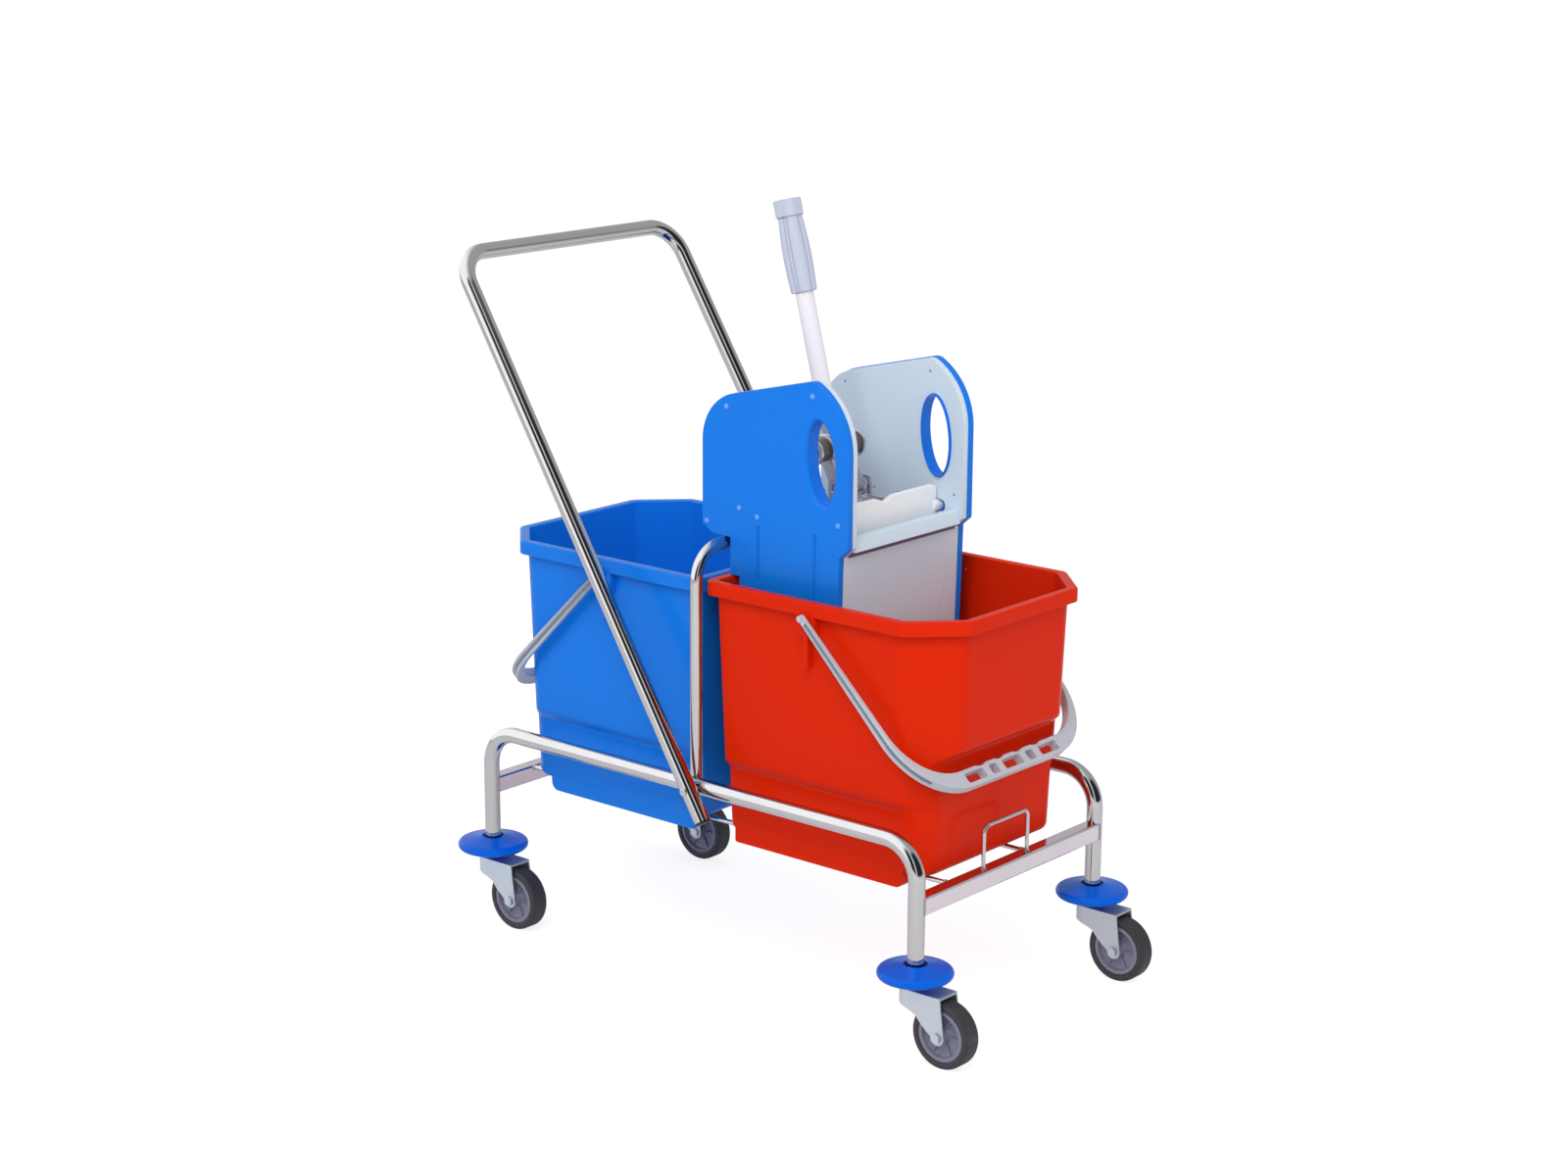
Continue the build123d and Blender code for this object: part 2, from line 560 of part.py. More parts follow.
    # Tyre: a round-shouldered ring on the hub
    with BuildPart() as tyre:
        with Locations((wheel_x, leg_y, WHEEL_R)):
            Cylinder(WHEEL_R, WHEEL_WIDTH, rotation=(90, 0, 0))
        fillet(tyre.edges().filter_by(GeomType.CIRCLE), TYRE_ROUND)
        with Locations((wheel_x, leg_y, WHEEL_R)):
            Cylinder(
                HUB_R + SEAT_GAP / 2, 2 * WHEEL_WIDTH, rotation=(90, 0, 0), mode=Mode.SUBTRACT
            )
    keep(tyre, f"wheel_tyre_{corner}")

# Buckets: drafted tubs with cut outer corners, a folded rim, shoulders and skids
CHAMFER_INSET = 2 - sqrt(2)      # a 45 degree cut shortens this much for each mm of inset


def bucket_outline(end, side_in, end_in, shoulder, corner_r):
    """Plan of a bucket: square at the inner end, cut corners at the outer end."""
    inner_x = BUCKET_GAP / 2 + end_in
    outer_x = BUCKET_GAP / 2 + BUCKET_LENGTH - end_in
    half_y = BUCKET_WIDTH / 2 - side_in
    cut = BUCKET_CHAMFER - CHAMFER_INSET * side_in
    corners = (
        (inner_x, -half_y),
        (outer_x - cut, -half_y),
        (outer_x - shoulder, -half_y + cut - shoulder),
        (outer_x - shoulder, half_y - cut + shoulder),
        (outer_x - cut, half_y),
        (inner_x, half_y),
    )
    with BuildSketch(mode=Mode.PRIVATE) as outline:
        with BuildLine():
            Polyline(*((end * x, y) for x, y in corners), close=True)
        make_face()
        fillet(outline.vertices(), corner_r)
    add(outline.sketch)


SHOULDERS = sorted((*FRONT_SHOULDER_Z, *SIDE_SHOULDER_Z), reverse=True)
WALL_LEVELS = (BUCKET_TOP_Z, *SHOULDERS, BUCKET_BOTTOM_Z)
EAR_FACE_Y = BAIL_ARM_Y - BAIL_ARM_T / 2 - CLEARANCE

for end, colour in ((1, "red"), (-1, "blue")):
    with BuildPart() as bucket:
        for z in WALL_LEVELS:
            with BuildSketch(Plane.XY.offset(z)):
                bucket_outline(end, *wall_insets(z), WALL_CORNER_R)
        loft(ruled=True)
        fillet(bucket.faces().sort_by(Axis.Z)[0].edges(), BOTTOM_ROUND)

        # folded rim: a flange with a skirt that hangs outside the wall
        with BuildSketch(Plane.XY.offset(BUCKET_TOP_Z)):
            bucket_outline(end, 0, 0, 0, RIM_CORNER_R)
        extrude(amount=-RIM_SKIRT)
        fillet(bucket.faces().sort_by(Axis.Z)[-1].outer_wire().edges(), RIM_ROUND)
        with BuildSketch(Plane.XY.offset(BUCKET_TOP_Z - RIM_SKIRT)):
            bucket_outline(end, BUCKET_WALL, BUCKET_WALL, 0, RIM_CORNER_R - BUCKET_WALL)
            skirt_insets = wall_insets(BUCKET_TOP_Z - RIM_SKIRT)
            with BuildSketch(mode=Mode.PRIVATE) as wall_plan:
                bucket_outline(end, *skirt_insets, WALL_CORNER_R)
            add(wall_plan.sketch, mode=Mode.SUBTRACT)
        extrude(amount=RIM_SKIRT - BUCKET_WALL, mode=Mode.SUBTRACT)

        # pivot ears under the rim, with a boss for each pin and a rib below
        skirt_z = BUCKET_TOP_Z - RIM_SKIRT
        for side, hand in SIDES:
            wall_y = BUCKET_WIDTH / 2 - wall_insets(PIVOT_Z)[0] - BUCKET_WALL / 2
            ear_depth = BUCKET_WIDTH / 2 - wall_y
            boss_depth = EAR_FACE_Y - wall_y
            with Locations((end * PIVOT_X, side * (wall_y + ear_depth / 2), skirt_z)):
                Box(
                    PIVOT_EAR[0],
                    ear_depth,
                    PIVOT_EAR[1] + BUCKET_WALL,
                    align=(Align.CENTER, Align.CENTER, Align.MAX),
                )
                Box(
                    PIVOT_RIB[0],
                    ear_depth,
                    PIVOT_EAR[1] + PIVOT_RIB[1],
                    align=(Align.CENTER, Align.CENTER, Align.MAX),
                )
            with Locations((end * PIVOT_X, side * (wall_y + boss_depth / 2), PIVOT_Z)):
                Cylinder(PIVOT_BOSS_D / 2, boss_depth, rotation=(90, 0, 0))

        # skids under both long edges
        side_in, end_in, shoulder = wall_insets(BUCKET_BOTTOM_Z)
        skid_from = BUCKET_GAP / 2 + end_in + SKID_INNER_INSET
        skid_to = BUCKET_GAP / 2 + BUCKET_LENGTH - end_in - shoulder - SKID_OUTER_INSET
        for side, hand in SIDES:
            with BuildSketch(Plane.XY.offset(BUCKET_BOTTOM_Z - SKID_HEIGHT)):
                with Locations((end * (skid_from + skid_to) / 2, side * SKID_Y)):
                    RectangleRounded(skid_to - skid_from, SKID_WIDTH, SKID_CORNER_R)
            extrude(amount=SKID_HEIGHT + BUCKET_WALL / 2)

        # hollow inside
        inside_levels = (*WALL_LEVELS[:-1], BUCKET_BOTTOM_Z + BUCKET_WALL)
        with BuildPart(mode=Mode.PRIVATE) as inside:
            for z in inside_levels:
                with BuildSketch(Plane.XY.offset(z)):
                    side_in, end_in, shoulder = wall_insets(z)
                    bucket_outline(
                        end,
                        side_in + BUCKET_WALL,
                        end_in + BUCKET_WALL,
                        shoulder,
                        WALL_CORNER_R - BUCKET_WALL,
                    )
            loft(ruled=True)
        add(inside.part, mode=Mode.SUBTRACT)

        # bores for the bail's pins
        with Locations((end * PIVOT_X, 0, PIVOT_Z)):
            Cylinder(
                BAIL_PIN_D / 2 + SEAT_GAP / 2,
                2 * BUCKET_WIDTH,
                rotation=(90, 0, 0),
                mode=Mode.SUBTRACT,
            )
    keep(bucket, f"bucket_{colour}")

    # Bail pins: headed pins pressed into the ears
    with BuildPart() as bail_pins:
        for side, hand in SIDES:
            pin_from = BUCKET_WIDTH / 2 - wall_insets(PIVOT_Z)[0] - BUCKET_WALL
            pin_to = BAIL_ARM_Y + BAIL_ARM_T / 2 + CLEARANCE
            with BuildSketch(Plane.XZ.offset(-side * pin_from)):
                with Locations((end * PIVOT_X, PIVOT_Z)):
                    Circle(BAIL_PIN_D / 2)
            extrude(amount=-side * (pin_to - pin_from))
            with BuildSketch(Plane.XZ.offset(-side * pin_to)):
                with Locations((end * PIVOT_X, PIVOT_Z)):
                    Circle(BAIL_PIN_HEAD[0] / 2)
            extrude(amount=-side * BAIL_PIN_HEAD[1])
    keep(bail_pins, f"bail_pins_{colour}")

    # Bail: flat-sided plastic U with a windowed grip
    hang = radians(BAIL_HANG)
    along = Vector(end * cos(hang), 0, -sin(hang))
    normal = Vector(end * sin(hang), 0, cos(hang))
    bail_plane = Plane((end * PIVOT_X, 0, PIVOT_Z), x_dir=along, z_dir=normal)
    arm_outer = BAIL_ARM_Y + BAIL_ARM_T / 2
    arm_inner = BAIL_ARM_Y - BAIL_ARM_T / 2
    grip_outer = BAIL_REACH + BAIL_GRIP_W / 2
    grip_inner = BAIL_REACH - BAIL_GRIP_W / 2
    bend_from = grip_inner - BAIL_INNER_R
    eye = BAIL_EYE_D / 2
    with BuildPart() as bail:
        with BuildSketch(bail_plane):
            with BuildSketch(mode=Mode.PRIVATE) as outer_plan:
                with Locations(((grip_outer - eye) / 2, 0)):
                    Rectangle(grip_outer + eye, 2 * arm_outer)
                fillet(outer_plan.vertices().group_by(Axis.X)[-1], BAIL_OUTER_R)
            with BuildSketch(mode=Mode.PRIVATE) as inner_plan:
                with Locations(((grip_inner - 2 * eye) / 2, 0)):
                    Rectangle(grip_inner + 2 * eye, 2 * arm_inner)
                fillet(inner_plan.vertices().group_by(Axis.X)[-1], BAIL_INNER_R)
            add(outer_plan.sketch)
            add(inner_plan.sketch, mode=Mode.SUBTRACT)
            with Locations((BAIL_REACH, 0)):
                with GridLocations(1, BAIL_WINDOW_PITCH, 1, BAIL_WINDOWS):
                    RectangleRounded(
                        BAIL_WINDOW[1], BAIL_WINDOW[0], BAIL_WINDOW_R, mode=Mode.SUBTRACT
                    )
                with GridLocations(1, BAIL_WINDOW_PITCH, 1, BAIL_WINDOWS - 1):
                    RectangleRounded(
                        BAIL_WINDOW[1], BAIL_SHORT_WINDOW, BAIL_WINDOW_R, mode=Mode.SUBTRACT
                    )
            with Locations((grip_inner - FINGER_R + FINGER_DEPTH, 0)):
                with GridLocations(1, FINGER_PITCH, 1, 2 * BAIL_WINDOWS - 2):
                    Circle(FINGER_R, mode=Mode.SUBTRACT)
        extrude(amount=BAIL_DEPTH / 2, both=True)
        # side view: round eyes, and arms that widen up to the bends
        with BuildSketch(Plane(bail_plane.origin, x_dir=along, z_dir=(0, 1, 0))):
            with BuildLine():
                Polyline(
                    (0, -eye),
                    (bend_from, -BAIL_DEPTH / 2),
                    (grip_outer + eye, -BAIL_DEPTH / 2),
                    (grip_outer + eye, BAIL_DEPTH / 2),
                    (bend_from, BAIL_DEPTH / 2),
                    (0, eye),
                    close=True,
                )
            make_face()
            Circle(eye)
        extrude(amount=2 * arm_outer, both=True, mode=Mode.INTERSECT)
        # groove along the outside of the arms and round the bends
        with BuildSketch(bail_plane):
            with Locations(((BAIL_EYE_D + grip_inner) / 2, 0)):
                Rectangle(grip_inner - BAIL_EYE_D, 2 * arm_outer)
            offset(outer_plan.sketch, amount=-BAIL_GROOVE[1], mode=Mode.SUBTRACT)
        extrude(amount=BAIL_GROOVE[0] / 2, both=True, mode=Mode.SUBTRACT)
        with Locations((end * PIVOT_X, 0, PIVOT_Z)):
            Cylinder(
                BAIL_PIN_D / 2 + RUN_GAP, 3 * arm_outer, rotation=(90, 0, 0), mode=Mode.SUBTRACT
            )
    keep(bail, f"bail_{colour}")

# Wringer side panels: blue shells outside, pale liners inside
LINER_OUT_Y = WRINGER_WIDTH / 2 - SHELL_T
LINER_IN_Y = LINER_OUT_Y - LINER_T
STEP_Z = BUCKET_TOP_Z + 3 * SEAT_GAP     # the panel rests on the bucket's rim here
FRONT_PLATE_X = WAIST_X[1] - FRONT_PLATE_SET_BACK
FRONT_FOOT_X = FRONT_PLATE_X - WELL_TAPER


def panel_outline():
    """Side view of a wringer panel: an eared upper part and a well that stands in the bucket."""
    with BuildSketch(mode=Mode.PRIVATE) as panel:
        with BuildLine():
            Polyline(
                PANEL_CREST,
                (PANEL_REAR_X, PANEL_TOP_REAR_Z),
                (PANEL_REAR_X, EAR_BOTTOM_Z + EAR_CHAMFER[1]),
                (PANEL_REAR_X + EAR_CHAMFER[0], EAR_BOTTOM_Z),
                (WAIST_X[0], EAR_BOTTOM_Z),
                (WAIST_X[0], STEP_Z),
                (WELL_REAR_X, STEP_Z),
                (WELL_REAR_X + WELL_TAPER, WELL_BOTTOM_Z),
                (WAIST_X[1] - WELL_TAPER, WELL_BOTTOM_Z),
                (WAIST_X[1], EAR_BOTTOM_Z),
                (PANEL_FRONT_X, EAR_BOTTOM_Z + EAR_CHAMFER[1]),
                (PANEL_FRONT_X, PANEL_BROW_Z),
            )
            ThreePointArc((PANEL_FRONT_X, PANEL_BROW_Z), PANEL_BROW_MID, PANEL_CREST)
        make_face()
        rear_top = panel.vertices().group_by(Axis.X)[0].sort_by(Axis.Y)[-1]
        fillet(rear_top, PANEL_REAR_R)
        fillet(panel.vertices().sort_by(Axis.Y)[-1], PANEL_CREST_R)
    add(panel.sketch)


for side, hand in SIDES:
    with BuildPart() as shell:
        with BuildSketch(Plane.XZ.offset(-side * WRINGER_WIDTH / 2)):
            panel_outline()
            with Locations(HAND_HOLE):
                Ellipse(*(size / 2 for size in HAND_HOLE_SIZE), mode=Mode.SUBTRACT)
            with Locations(*PANEL_SCREWS):
                Circle(SCREW_SHANK_D / 2 + SEAT_GAP, mode=Mode.SUBTRACT)
        extrude(amount=side * SHELL_T)
        outer_face = shell.faces().sort_by(Axis.Y)[-1 if side > 0 else 0]
        hole_edge = outer_face.inner_wires().sort_by(SortBy.LENGTH)[-1].edges()
        chamfer(hole_edge, HAND_HOLE_EDGE)
        with BuildSketch(Plane.XZ.offset(-side * LINER_OUT_Y)):
            with Locations(HAND_HOLE):
                Ellipse(*(size / 2 + HAND_HOLE_COLLAR for size in HAND_HOLE_SIZE))
                Ellipse(*(size / 2 for size in HAND_HOLE_SIZE), mode=Mode.SUBTRACT)
        extrude(amount=side * (LINER_T - HAND_HOLE_COLLAR))
        with BuildSketch(Plane.XZ.offset(-side * WRINGER_WIDTH / 2)):
            for groove_x, groove_z, groove_h in PANEL_GROOVES:
                with Locations((groove_x, groove_z)):
                    Rectangle(PANEL_GROOVE_CUT[0], groove_h)
        extrude(amount=side * PANEL_GROOVE_CUT[1], mode=Mode.SUBTRACT)
    keep(shell, f"wringer_shell_{hand}")

    with BuildPart() as liner:
        with BuildSketch(Plane.XZ.offset(-side * (LINER_OUT_Y - SEAT_GAP))):
            panel_outline()
            offset(amount=-LINER_INSET, kind=Kind.INTERSECTION, mode=Mode.REPLACE)
            with BuildLine():
                Polyline(
                    (FRONT_FOOT_X - FRONT_PLATE_T - SEAT_GAP, WELL_BOTTOM_Z),
                    (PANEL_FRONT_X, WELL_BOTTOM_Z),
                    (PANEL_FRONT_X, EAR_BOTTOM_Z + LINER_INSET),
                    (FRONT_PLATE_X - FRONT_PLATE_T - SEAT_GAP, EAR_BOTTOM_Z + LINER_INSET),
                    close=True,
                )
            make_face(mode=Mode.SUBTRACT)
            with Locations(HAND_HOLE):
                collar_hole = HAND_HOLE_COLLAR + SEAT_GAP
                Ellipse(*(size / 2 + collar_hole for size in HAND_HOLE_SIZE), mode=Mode.SUBTRACT)
            with Locations(*PANEL_SCREWS):
                Circle(SCREW_SHANK_D / 2 + SEAT_GAP, mode=Mode.SUBTRACT)
            slot_rear_x = PRESS_X - (PRESS_T + GUIDE_STUD_D) / 2 - PRESS_TRAVEL - 2 * CLEARANCE
            with Locations(*(((slot_rear_x + GUIDE_SLOT_FRONT_X) / 2, z) for z in GUIDE_Z)):
                SlotOverall(
                    GUIDE_SLOT_FRONT_X - slot_rear_x,
                    GUIDE_STUD_D + 2 * CLEARANCE,
                    mode=Mode.SUBTRACT,
                )
        extrude(amount=side * (LINER_T - SEAT_GAP))
    keep(liner, f"wringer_liner_{hand}")

# Panel screws: domed screws that hold each shell to its liner
with BuildPart() as panel_screws:
    for side, hand in SIDES:
        with BuildSketch(Plane.XZ.offset(-side * (WRINGER_WIDTH / 2 + SEAT_GAP))):
            with Locations(*PANEL_SCREWS):
                Circle(SCREW_HEAD[0] / 2)
        extrude(amount=-side * SCREW_HEAD[1], taper=SCREW_HEAD_TAPER)
        with BuildSketch(Plane.XZ.offset(-side * (WRINGER_WIDTH / 2 + SEAT_GAP))):
            with Locations(*PANEL_SCREWS):
                Circle(SCREW_SHANK_D / 2)
        extrude(amount=side * SCREW_LENGTH)
keep(panel_screws, "panel_screws")

# Front plate: the wall that the mop is pressed against
PLATE_WIDTH = 2 * (LINER_IN_Y - SEAT_GAP)
FRONT_PLATE_WIDTH = 2 * (LINER_OUT_Y - SEAT_GAP)
with BuildPart() as front_plate:
    with BuildSketch(Plane.XZ.offset(-FRONT_PLATE_WIDTH / 2)):
        with BuildLine():
            Polyline(
                (FRONT_FOOT_X - FRONT_PLATE_T, WELL_BOTTOM_Z + LINER_INSET),
                (FRONT_FOOT_X, WELL_BOTTOM_Z + LINER_INSET),
                (FRONT_PLATE_X, EAR_BOTTOM_Z),
                (FRONT_PLATE_X - FRONT_PLATE_T, EAR_BOTTOM_Z),
                close=True,
            )
        make_face()
    extrude(amount=FRONT_PLATE_WIDTH)
    with Locations((FRONT_PLATE_X - FRONT_PLATE_T / 2, 0, EAR_BOTTOM_Z)):
        Box(
            FRONT_PLATE_T,
            PLATE_WIDTH,
            FRONT_LIP_Z[1] - EAR_BOTTOM_Z,
            align=(Align.CENTER, Align.CENTER, Align.MIN),
        )
    with BuildSketch(Plane.YZ.offset(FRONT_FOOT_X - 2 * FRONT_PLATE_T)):
        with Locations((0, WELL_BOTTOM_Z + (DRAIN_ROWS / 2 + 1) * DRAIN_PITCH)):
            with GridLocations(DRAIN_SLOT[0] + DRAIN_PITCH, DRAIN_PITCH, 2, DRAIN_ROWS):
                SlotOverall(*DRAIN_SLOT)
    extrude(amount=4 * FRONT_PLATE_T, mode=Mode.SUBTRACT)
keep(front_plate, "wringer_front_plate")

# Front lip: a sloping pale ledge along the top of the front plate
LIP_X = FRONT_PLATE_X + SEAT_GAP
with BuildPart() as front_lip:
    with BuildSketch(Plane.XZ.offset(-PLATE_WIDTH / 2)):
        with BuildLine():
            Polyline(
                (LIP_X, FRONT_LIP_Z[0]),
                (LIP_X + FRONT_LIP_OUT, FRONT_LIP_Z[0]),
                (LIP_X + FRONT_LIP_TOP, FRONT_LIP_Z[1]),
                (LIP_X, FRONT_LIP_Z[1]),
                close=True,
            )
        make_face()
    extrude(amount=PLATE_WIDTH)
keep(front_lip, "wringer_front_lip")

# Back plate and drained floor of the well
BACK_PLATE_X = WELL_REAR_X + WELL_TAPER + LINER_INSET
with BuildPart() as back_plate:
    with BuildSketch(Plane.YZ.offset(BACK_PLATE_X)):
        with Locations((0, (BACK_PLATE_TOP_Z + WELL_BOTTOM_Z + LINER_INSET) / 2)):
            RectangleRounded(
                PLATE_WIDTH, BACK_PLATE_TOP_Z - WELL_BOTTOM_Z - LINER_INSET, BACK_PLATE_T
            )
    extrude(amount=BACK_PLATE_T)
keep(back_plate, "wringer_back_plate")

FLOOR_FROM = BACK_PLATE_X + BACK_PLATE_T + SEAT_GAP
FLOOR_TO = FRONT_FOOT_X - FRONT_PLATE_T - SEAT_GAP
with BuildPart() as well_floor:
    with BuildSketch(Plane.XY.offset(WELL_BOTTOM_Z + LINER_INSET)):
        with Locations(((FLOOR_FROM + FLOOR_TO) / 2, 0)):
            Rectangle(FLOOR_TO - FLOOR_FROM, PLATE_WIDTH)
            with GridLocations(DRAIN_PITCH, DRAIN_SLOT[0] + DRAIN_PITCH, DRAIN_ROWS - 1, 2):
                SlotOverall(*DRAIN_SLOT, rotation=90, mode=Mode.SUBTRACT)
    extrude(amount=FLOOR_T)
keep(well_floor, "wringer_floor")

# Press plate: the white wall that moves, guided by studs in the liners' slots
PRESS_BOTTOM_Z = WELL_BOTTOM_Z + LINER_INSET + FLOOR_T + 2 * CLEARANCE
PRESS_WIDTH = 2 * (LINER_IN_Y - PRESS_SIDE_GAP)
PRESS_MID_Z = (PRESS_TOP_Z + PRESS_BOTTOM_Z) / 2
with BuildPart() as press_plate:
    with BuildSketch(Plane.YZ.offset(PRESS_X - PRESS_T)):
        with Locations((0, PRESS_MID_Z)):
            RectangleRounded(PRESS_WIDTH, PRESS_TOP_Z - PRESS_BOTTOM_Z, PRESS_T)
        with BuildLine():
            Polyline(
                (-PRESS_NOTCH[0] / 2, PRESS_TOP_Z),
                (0, PRESS_TOP_Z - PRESS_NOTCH[1]),
                (PRESS_NOTCH[0] / 2, PRESS_TOP_Z),
                close=True,
            )
        make_face(mode=Mode.SUBTRACT)
        with Locations((0, PRESS_BOTTOM_Z + (DRAIN_ROWS / 2 + 1) * DRAIN_PITCH)):
            with GridLocations(DRAIN_SLOT[0] + DRAIN_PITCH, DRAIN_PITCH, 2, DRAIN_ROWS):
                SlotOverall(*DRAIN_SLOT, mode=Mode.SUBTRACT)
    extrude(amount=PRESS_T)
    with Locations(*((PRESS_X - PRESS_T / 2, 0, z) for z in GUIDE_Z)):
        with GridLocations(1, PRESS_WIDTH - PRESS_T, 1, 2):
            Box(PRESS_T, PRESS_T, 2 * GUIDE_STUD_D)
    for side, hand in SIDES:
        with BuildSketch(Plane.XZ.offset(-side * (PRESS_WIDTH / 2 - PRESS_T))):
            with Locations(*((PRESS_X - PRESS_T / 2, z) for z in GUIDE_Z)):
                Circle(GUIDE_STUD_D / 2)
        extrude(amount=-side * (LINER_OUT_Y - CLEARANCE - PRESS_WIDTH / 2 + PRESS_T))
keep(press_plate, "press_plate")

# Lever hub: boss on the shaft, with the lever's socket above and two cranks below
SHAFT_X, SHAFT_Z = SHAFT_AT
LEVER_DIR = Vector(-sin(radians(LEVER_LEAN)), 0, cos(radians(LEVER_LEAN)))
CRANK_DIR = Vector(sin(radians(CRANK_ANGLE)), 0, -cos(radians(CRANK_ANGLE)))
SHAFT_POINT = Vector(SHAFT_X, 0, SHAFT_Z)
CRANK_PIN = SHAFT_POINT + CRANK_DIR * CRANK_R
CRANK_SIDE = Vector(-CRANK_DIR.Z, 0, CRANK_DIR.X) * CRANK_EYE_R
CRANK_ARM_OUT = HUB_WIDTH / 2


def lever_plane(distance):
    """Plane across the lever, at a distance from the shaft."""
    return Plane(SHAFT_POINT + LEVER_DIR * distance, x_dir=(0, 1, 0), z_dir=LEVER_DIR)


with BuildPart() as lever_hub:
    with Locations((SHAFT_X, 0, SHAFT_Z)):
        Cylinder(HUB_D / 2, HUB_WIDTH, rotation=(90, 0, 0))
    with BuildSketch(lever_plane(0)):
        Circle(SOCKET_D / 2)
    extrude(amount=SOCKET_SPAN[1])
    with BuildSketch(lever_plane(SOCKET_SPAN[0])):
        Circle(LEVER_TUBE_D / 2 + SEAT_GAP / 2)
    extrude(amount=SOCKET_SPAN[1], mode=Mode.SUBTRACT)
    for side, hand in SIDES:
        with BuildSketch(Plane.XZ.offset(-side * CRANK_ARM_OUT)):
            with Locations((CRANK_PIN.X, CRANK_PIN.Z)):
                Circle(CRANK_EYE_R)
            with BuildLine():
                Polyline(
                    (SHAFT_X - CRANK_EYE_R, SHAFT_Z),
                    (SHAFT_X + CRANK_EYE_R, SHAFT_Z),
                    (CRANK_PIN.X + CRANK_SIDE.X, CRANK_PIN.Z + CRANK_SIDE.Z),
                    (CRANK_PIN.X - CRANK_SIDE.X, CRANK_PIN.Z - CRANK_SIDE.Z),
                    close=True,
                )
            make_face()
        extrude(amount=side * CRANK_ARM_T)
    with Locations((SHAFT_X, 0, SHAFT_Z)):
        Cylinder(SHAFT_D / 2 + SEAT_GAP / 2, 2 * HUB_WIDTH, rotation=(90, 0, 0), mode=Mode.SUBTRACT)
    with Locations((CRANK_PIN.X, 0, CRANK_PIN.Z)):
        Cylinder(
            CRANK_PIN_D / 2 + SEAT_GAP / 2, 2 * HUB_WIDTH, rotation=(90, 0, 0), mode=Mode.SUBTRACT
        )
keep(lever_hub, "lever_hub")

# Pivot bracket: two steel cheeks on the back plate, with an eye for the shaft
BRACKET_X = BACK_PLATE_X + BACK_PLATE_T + SEAT_GAP
BRACKET_OUT_Y = BRACKET_IN_Y + BRACKET_T
BRACKET_FOOT_Z = BRACKET_FOOT_TOP_Z - BRACKET_FOOT[1]
with BuildPart() as pivot_bracket:
    for side, hand in SIDES:
        with BuildSketch(Plane.XZ.offset(-side * BRACKET_OUT_Y)):
            with BuildLine():
                Polyline(
                    (BRACKET_X, BRACKET_FOOT_Z),
                    (BRACKET_FRONT_X, BRACKET_FOOT_TOP_Z),
                    (SHAFT_X + BRACKET_EYE_R / 2, SHAFT_Z),
                    (SHAFT_X - BRACKET_EYE_R, SHAFT_Z),
                    (BRACKET_X, BRACKET_FOOT_TOP_Z),
                    close=True,
                )
            make_face()
            with Locations(SHAFT_AT):
                Circle(BRACKET_EYE_R)
                Circle(BUSH_D / 2 + SEAT_GAP / 2, mode=Mode.SUBTRACT)
        extrude(amount=side * BRACKET_T)
        foot_y = side * (BRACKET_OUT_Y + BRACKET_FOOT[0] / 2)
        with Locations((BRACKET_X + BRACKET_T / 2, foot_y, BRACKET_FOOT_TOP_Z)):
            Box(BRACKET_T, *BRACKET_FOOT, align=(Align.CENTER, Align.CENTER, Align.MAX))
keep(pivot_bracket, "pivot_bracket")

# Bushes: shouldered plastic bearings in the bracket's eyes
for side, hand in SIDES:
    with BuildPart() as bush:
        with BuildSketch(Plane.XZ.offset(-side * BRACKET_OUT_Y)):
            with Locations(SHAFT_AT):
                Circle(BUSH_D / 2)
                Circle(SHAFT_D / 2 + RUN_GAP / 2, mode=Mode.SUBTRACT)
        extrude(amount=side * (BRACKET_T + SEAT_GAP))
        with BuildSketch(Plane.XZ.offset(-side * (BRACKET_IN_Y - SEAT_GAP))):
            with Locations(SHAFT_AT):
                Circle(BUSH_SHOULDER_D / 2)
                Circle(SHAFT_D / 2 + RUN_GAP / 2, mode=Mode.SUBTRACT)
        extrude(amount=side * (BRACKET_IN_Y - HUB_WIDTH / 2 - CLEARANCE))
    keep(bush, f"shaft_bush_{hand}")

# Lever shaft and crank pin
with BuildPart() as lever_shaft:
    with Locations((SHAFT_X, 0, SHAFT_Z)):
        Cylinder(
            SHAFT_D / 2, 2 * (BRACKET_IN_Y + BRACKET_T + SHAFT_END), rotation=(90, 0, 0)
        )
keep(lever_shaft, "lever_shaft")

YOKE_IN_Y = CRANK_ARM_OUT + YOKE_GAP
YOKE_OUT_Y = YOKE_IN_Y + YOKE_T
with BuildPart() as crank_pin:
    with Locations((CRANK_PIN.X, 0, CRANK_PIN.Z)):
        Cylinder(CRANK_PIN_D / 2, 2 * (YOKE_OUT_Y + YOKE_GAP), rotation=(90, 0, 0))
keep(crank_pin, "crank_pin")

